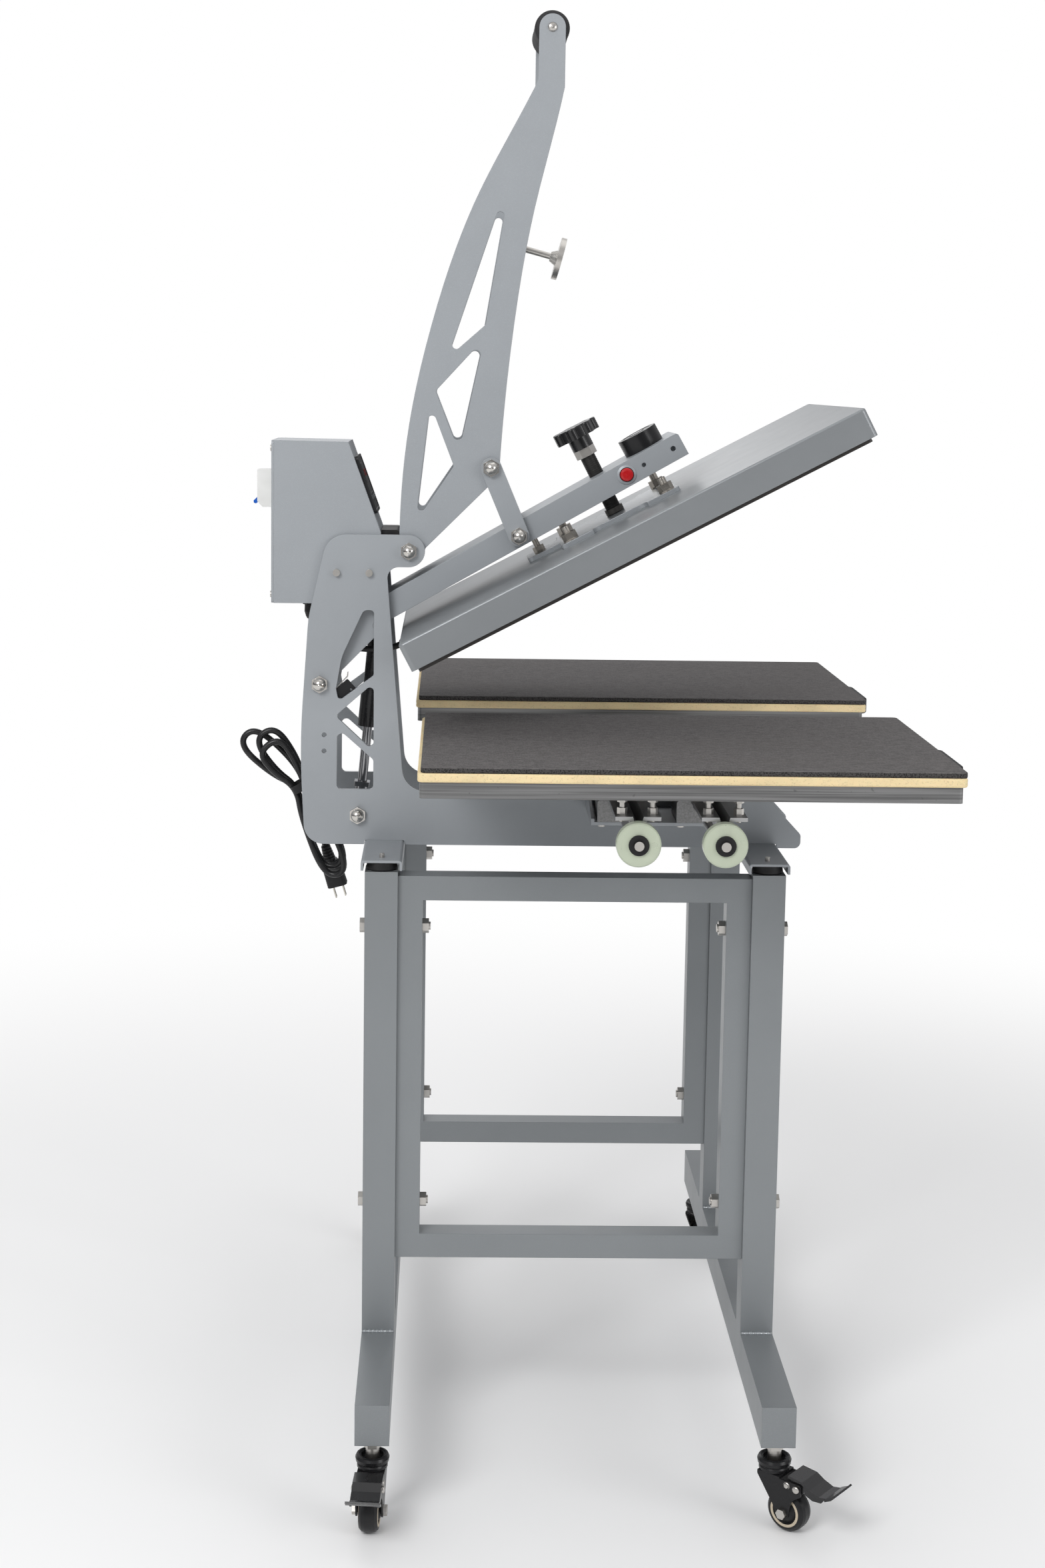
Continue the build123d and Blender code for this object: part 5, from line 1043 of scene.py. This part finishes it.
class HEATPRESS_OT_bright_metal(bpy.types.Operator):
    """Bolts, shafts, rails, aluminium plates and bearings"""

    bl_idname = "heatpress.bright_metal"
    bl_label = "Bright metal"

    def execute(self, context):
        steel = tone_of("steel")
        dress(bright_metal("zinc_plate", steel, 0.32), "stand_fasteners", "armature")
        stainless = bright_metal("stainless_steel", shade(steel, 1.08), 0.20)
        dress(stainless, "cross_shafts", "link_bolts")
        for node, *finish in (
            ("suspension_bolts", "hard_bolt_steel", (0.40, 0.37, 0.33), 0.25),
            ("gas_spring_rod", "polished_rod", (0.34, 0.34, 0.35), 0.14),
            ("rails", "rail_steel", (0.48, 0.48, 0.48), 0.30, (400.0, 12.0, 400.0)),
            ("heater_element", "heater_steel", (0.20, 0.18, 0.16), 0.5),
            ("pressure_foot", "foot_steel", (0.10, 0.095, 0.09), 0.38),
        ):
            dress(bright_metal(*finish), node)
        drawn = shade(tone_of("aluminium"), 0.62)
        dress(extruded("table_aluminium", drawn, 0.40, (4.0, 4.0, 380.0), 0.62), "table_plates")
        block = tone_of("bearing")
        dress(extruded("bearing_aluminium", block, 0.42, (500.0, 6.0, 500.0)), "bearing_blocks")

        def washer(finish):
            """Black washers on the ends of both rails."""
            y = finish.part_of("Y")
            inner, outer = WASHER_RADII
            rings = 0.0
            for x in RAILS_X:
                away = finish.from_line((x, 0.0, RAILS_Z), FAR_WAY)
                rings = rings + (away < outer) * (away > inner)
            return rings * ((y < RAIL_ENDS[0]) + (y > RAIL_ENDS[1]))

        bolts = two_tone(
            "rail_bolt_zinc", washer, (steel, 1.0, 0.3), (tone_of("black"), 0.0, 0.45)
        )
        dress(bolts, "rail_bolts")
        return {"FINISHED"}


class HEATPRESS_OT_plastic_and_rubber(bpy.types.Operator):
    """Moulded, rubber and electrical pieces"""

    bl_idname = "heatpress.plastic_and_rubber"
    bl_label = "Plastic and rubber"

    def execute(self, context):
        black = tone_of("black")
        for node, *finish in (
            ("star_knob", "knob_phenolic", black, 0.24, 300.0, 0.00002, 0.4),
            ("pull_handles", "handle_nylon", black, 0.46),
            ("gas_spring_cylinder", "spring_gloss_paint", black, 0.26, 200.0, 0.00002, 0.3),
            ("push_button", "button_red", tone_of("button"), 0.25, 200.0, 0.00002, 0.5),
            ("controller_board", "board_resin", (0.02, 0.16, 0.06), 0.4),
            ("control_panel", "panel_bezel", shade(black, 1.3), 0.38),
            ("breaker_toggle", "toggle_blue", tone_of("toggle"), 0.3, 300.0, 0.00002, 0.3),
            ("circuit_breaker", "breaker_white", (0.80, 0.80, 0.78), 0.42),
        ):
            dress(moulded(*finish), node)
        dress(rubber("buffer_rubber", black), "rubber_buffers")
        dress(clear_urethane(tone_of("bumper")), "bumper_discs")
        dress(heat_coating(), "heating_plate")

        button_middle = leaning_place(ARM_TILT, *BUTTON_PLACE)
        bezel = two_tone(
            "button_bezel",
            lambda finish: finish.from_line(button_middle, FAR_WAY) > BEZEL_RADIUS,
            (black, 0.0, 0.4),
            (tone_of("press_paint"), 0.25, 0.42),
        )
        dress(bezel, "button_housing")

        face = leaning_place(ARM_TILT, *MAGNET_PLACE)
        _, up = leaning_ways(ARM_TILT)

        def pole_face(finish):
            """Bright core and rim of the magnet's face."""
            away = finish.from_line(face, up)
            core, rim = POLE_RADII
            return (finish.along_line(face, up) > POLE_FACE) * ((away < core) + (away > rim))

        magnet = two_tone(
            "magnet_case", pole_face, (black, 0.0, 0.22), ((0.30, 0.30, 0.30), 1.0, 0.35)
        )
        dress(magnet, "electromagnet")
        _, switch_up = leaning_ways(SWITCH_TILT)
        switch = two_tone(
            "switch_body",
            lambda finish: finish.along_line(SWITCH_CORNER, switch_up) > 0.0,
            (black, 0.0, 0.4),
            (tone_of("steel"), 1.0, 0.3),
        )
        dress(switch, "micro_switch")
        return {"FINISHED"}


class HEATPRESS_OT_casters(bpy.types.Operator):
    """Casters: black forks, bright axle ends and rivets, tyres with a cream ring"""

    bl_idname = "heatpress.casters"
    bl_label = "Casters"

    def execute(self, context):
        black, steel = tone_of("black"), tone_of("steel")
        cream = moulded("rim_cream", (0.55, 0.47, 0.36), 0.5)
        rivet_steel = bright_metal("rivet_zinc", steel, 0.3)
        tyre = rubber("tyre_polyurethane", black, 0.42)
        pedal_black = moulded("pedal_gloss", black, 0.26, 150.0, 0.00003, 0.4)
        for name in CASTERS:
            axle, normal = joint_place("wheel_spin_" + name)
            pivot, _ = joint_place("brake_" + name)

            def axle_end(finish, axle=axle, normal=normal):
                """Ends of the axle, proud of the fork."""
                proud = abs(finish.along_line(axle, normal)) > AXLE_FACE
                return (finish.from_line(axle, normal) < AXLE_RADIUS) * proud

            fork = two_tone(
                "fork_gloss_" + name, axle_end, (black, 0.0, 0.26), (steel, 1.0, 0.34)
            )
            dress(fork, "caster_fork_" + name)
            dress(tyre, "caster_wheel_" + name)
            dress(pedal_black, "caster_pedal_" + name)
            trail = UP_WAY.cross(normal)
            fixed = pivot - trail * RIVET_SETBACK * MM + UP_WAY * RIVET_RISE * MM
            rivets = (("pedal", pivot, PEDAL_RIVET_FACE), ("fork", fixed, FORK_RIVET_FACE))
            for end, side in ENDS:
                out = normal * end
                rim = axle + out * WHEEL_FACE * MM
                ring = turned_piece(
                    f"rim_ring_{name}_{side}", rim, out, RIM_OUTLINE, cream, closed=True
                )
                seated(ring, "wheel_" + name)
                for kind, place, reach in rivets:
                    rivet = turned_piece(
                        f"{kind}_rivet_{name}_{side}", place + out * reach * MM, out,
                        RIVET_DOME, rivet_steel, 24,
                    )
                    seated(rivet, f"{kind}_{name}")
        return {"FINISHED"}


class HEATPRESS_OT_table_foams(bpy.types.Operator):
    """Cream foam sheets on the table plates"""

    bl_idname = "heatpress.table_foams"
    bl_label = "Table foams"

    def execute(self, context):
        low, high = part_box("table_foams")
        foam = cut_foam(tone_of("foam"))
        profile = (*FOAM_EDGE, ((high.z - low.z) / MM, FOAM_RIM))
        for side, x, y in FOAM_PLACES:
            sheet = sheet_piece(
                "foam_sheet_" + side, (x, y, low.z), FOAM_SIZE, FOAM_CORNER,
                profile, foam, FOAM_RIPPLE,
            )
            seated(sheet, "shuttle")
            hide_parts("table_foams")
        return {"FINISHED"}


class HEATPRESS_OT_table_pads(bpy.types.Operator):
    """Dark pads that the work lies on"""

    bl_idname = "heatpress.table_pads"
    bl_label = "Table pads"

    def execute(self, context):
        low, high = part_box("table_pads")
        cloth = pad_cloth(tone_of("pad"), high.z)
        profile = (*PAD_EDGE, ((high.z - low.z) / MM, PAD_RIM))
        for side, x, y in PAD_PLACES:
            sheet = sheet_piece(
                "pad_sheet_" + side, (x, y, low.z + PAD_LIFT * MM), PAD_SIZE, PAD_CORNER,
                profile, cloth, PAD_RIPPLE, context.scene.press_sizes.pad_crown,
            )
            seated(sheet, "shuttle")
            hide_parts("table_pads")
        return {"FINISHED"}


class HEATPRESS_OT_grip(bpy.types.Operator):
    """Foam grip between the handle plates"""

    bl_idname = "heatpress.grip"
    bl_label = "Grip"

    def execute(self, context):
        low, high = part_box("grip")
        middle = (low + high) / 2
        run = (high.y - low.y) / MM
        full, end = GRIP_END[-1]
        outline = list(GRIP_END)
        for k in range(1, GRIP_STEPS):
            share = k / GRIP_STEPS
            swell = 0.12 * math.sin(share * math.pi * 5) - 0.25 * math.sin(share * math.pi)
            outline.append((full + swell, end + (run - 2 * end) * share))
        outline += [(radius, run - along) for radius, along in reversed(GRIP_END)]
        grip = turned_piece(
            "grip_sleeve", Vector((middle.x, low.y, middle.z)), FAR_WAY, outline,
            foam_grip(tone_of("black")), 56, closed=True, smooth=60.0,
        )
        seated(grip, "handle")
        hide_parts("grip")
        return {"FINISHED"}


class HEATPRESS_OT_threads(bpy.types.Operator):
    """Pressure screw with its thread, and the threads of the suspension bolts"""

    bl_idname = "heatpress.threads"
    bl_label = "Threads"

    def execute(self, context):
        steel = tone_of("steel")
        oxide = (0.02, 0.019, 0.018)
        axis = platen_place(SCREW_P, FOOT_TOP_Q)
        screw = threaded_piece(
            "pressure_thread", axis, PLATEN_UP, SCREW_RADIUS, SCREW_DEPTH,
            THREAD_TOP_Q - FOOT_TOP_Q,
            context.scene.press_sizes.screw_pitch / MM * SCREW_COARSENESS,
            moulded("screw_black_oxide", oxide, 0.42),
        )
        seated(screw, "pressure_screw")
        nut_and_rod = two_tone(
            "nut_and_rod",
            lambda finish: finish.from_line(axis, PLATEN_UP) > NUT_CORE,
            (oxide, 0.0, 0.42),
            (steel, 1.0, 0.3),
        )
        dress(nut_and_rod, "pressure_screw")
        bolt = bright_metal("bolt_thread_steel", steel, 0.3)
        for beside, y, radius, low, high in BOLTS:
            p = SCREW_P + beside
            thread = threaded_piece(
                f"bolt_thread_{int(p)}_{int(y + 200)}", platen_place(p, SEAT_Q + low, y),
                PLATEN_UP, radius + BOLT_PROUD, BOLT_DEPTH, high - low + BOLT_LAP, BOLT_PITCH,
                bolt, 20,
            )
            seated(thread, "platen")
        return {"FINISHED"}


class HEATPRESS_OT_control_keys(bpy.types.Operator):
    """Digits and key marks of the control panel"""

    bl_idname = "heatpress.control_keys"
    bl_label = "Control keys"

    def execute(self, context):
        up = (PANEL_HIGH - PANEL_LOW).normalized()
        normal = FAR_WAY.cross(up).normalized()
        box_low, box_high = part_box("control_panel")
        face = PANEL_LOW + up * (((box_low + box_high) / 2 - PANEL_LOW).dot(up))
        face.y = HEAD_Y

        def raised(name, level, across, rise, outline, thick, material):
            """A slab on the panel's face, in millimetres from its middle."""
            spot = face + (normal * level + FAR_WAY * across + up * rise) * MM
            piece = slab_piece(name, spot, FAR_WAY, up, outline, thick, material)
            seated(piece, "stand")

        lit = Finish("digit_red")
        glow = lit.cloud(200.0)
        lit.surface(
            Base_Color=(0.11, 0.006, 0.006, 1.0),
            Roughness=0.4,
            Emission_Color=lit.tint(glow, (0.55, 0.02, 0.01, 1.0), (0.75, 0.04, 0.02, 1.0)),
            Emission_Strength=0.06,
        )
        for index, digit in enumerate("180030"):
            across = FIRST_DIGIT + DIGIT_STEP * index + (DISPLAY_GAP if index > 2 else 0.0)
            for bar in DIGIT_SHAPES[digit]:
                outline = rectangle(*DIGIT_BARS[bar])
                raised(
                    f"digit_{index}_{bar}", DIGIT_LEVEL, across, DIGIT_RISE, outline, 0.18,
                    lit.material,
                )
        print_grey = moulded("key_print", (0.55, 0.56, 0.57), 0.5)
        marks = (
            [(-3.0, -2.0), (3.0, -2.0), (0.0, 3.0)],
            [(-3.0, 2.0), (0.0, -3.0), (3.0, 2.0)],
            rectangle(0.0, 0.0, 4.8, 4.8),
            [(2.8 * x, 2.8 * y) for x, y in around(16)],
        )
        for index, outline in enumerate(marks):
            across = FIRST_KEY + KEY_STEP * index
            raised(f"key_mark_{index}", KEY_LEVEL, across, -KEY_DROP, outline, 0.12, print_grey)
        return {"FINISHED"}


class HEATPRESS_OT_welds(bpy.types.Operator):
    """Scaled weld beads where the posts stand on the foot tubes, painted lighter as a highlight."""

    bl_idname = "heatpress.welds"
    bl_label = "Welds"

    def execute(self, context):
        # The beads take the stand paint made lighter: a painted highlight along each bead.
        paint = powder_coat("weld_paint", shade(tone_of("stand_paint"), 1.35), 0.3, 0.5, True)
        scale_length = context.scene.press_sizes.bead_length / MM
        faces = ring_faces(WELD_SIDES, WELD_RINGS)
        for side, side_name in ((-1, "left"), (1, "right")):
            for end, end_name in ENDS:
                for out in (-1, 1):
                    y = end * POST_Y + out * POST_FACE
                    edge = "outer" if out == end else "inner"
                    points = weld_points(side * POST_X, y, out, scale_length)
                    name = f"weld_{side_name}_{end_name}_{edge}"
                    bead = new_piece(name, points, faces, paint, 60.0)
                    seated(bead, "stand")
        return {"FINISHED"}


class HEATPRESS_PT_sidebar(bpy.types.Panel):
    """Lists the pieces of the heat press"""

    bl_label = "Heat Press"
    bl_idname = "HEATPRESS_PT_sidebar"
    bl_space_type = "VIEW_3D"
    bl_region_type = "UI"
    bl_category = "Heat Press"

    def draw(self, context):
        layout = self.layout
        for group in (context.scene.press_colours, context.scene.press_sizes):
            for key in group.__annotations__:
                layout.prop(group, key)
        for operator in OPERATORS:
            layout.operator(operator.bl_idname)


OPERATORS = (
    HEATPRESS_OT_stage,
    HEATPRESS_OT_mains_cord,
    HEATPRESS_OT_platen_lead,
    HEATPRESS_OT_painted_steel,
    HEATPRESS_OT_bright_metal,
    HEATPRESS_OT_plastic_and_rubber,
    HEATPRESS_OT_casters,
    HEATPRESS_OT_table_foams,
    HEATPRESS_OT_table_pads,
    HEATPRESS_OT_grip,
    HEATPRESS_OT_threads,
    HEATPRESS_OT_control_keys,
    HEATPRESS_OT_welds,
)
CLASSES = (HeatPressColours, HeatPressSizes, *OPERATORS, HEATPRESS_PT_sidebar)


def register():
    for kind in CLASSES:
        bpy.utils.register_class(kind)
    bpy.types.Scene.press_colours = bpy.props.PointerProperty(type=HeatPressColours)
    bpy.types.Scene.press_sizes = bpy.props.PointerProperty(type=HeatPressSizes)


def unregister():
    del bpy.types.Scene.press_sizes
    del bpy.types.Scene.press_colours
    for kind in reversed(CLASSES):
        bpy.utils.unregister_class(kind)


def main():
    register()
    for operator in OPERATORS:
        getattr(bpy.ops.heatpress, operator.bl_idname.split(".")[1])()


if __name__ == "__main__":
    main()
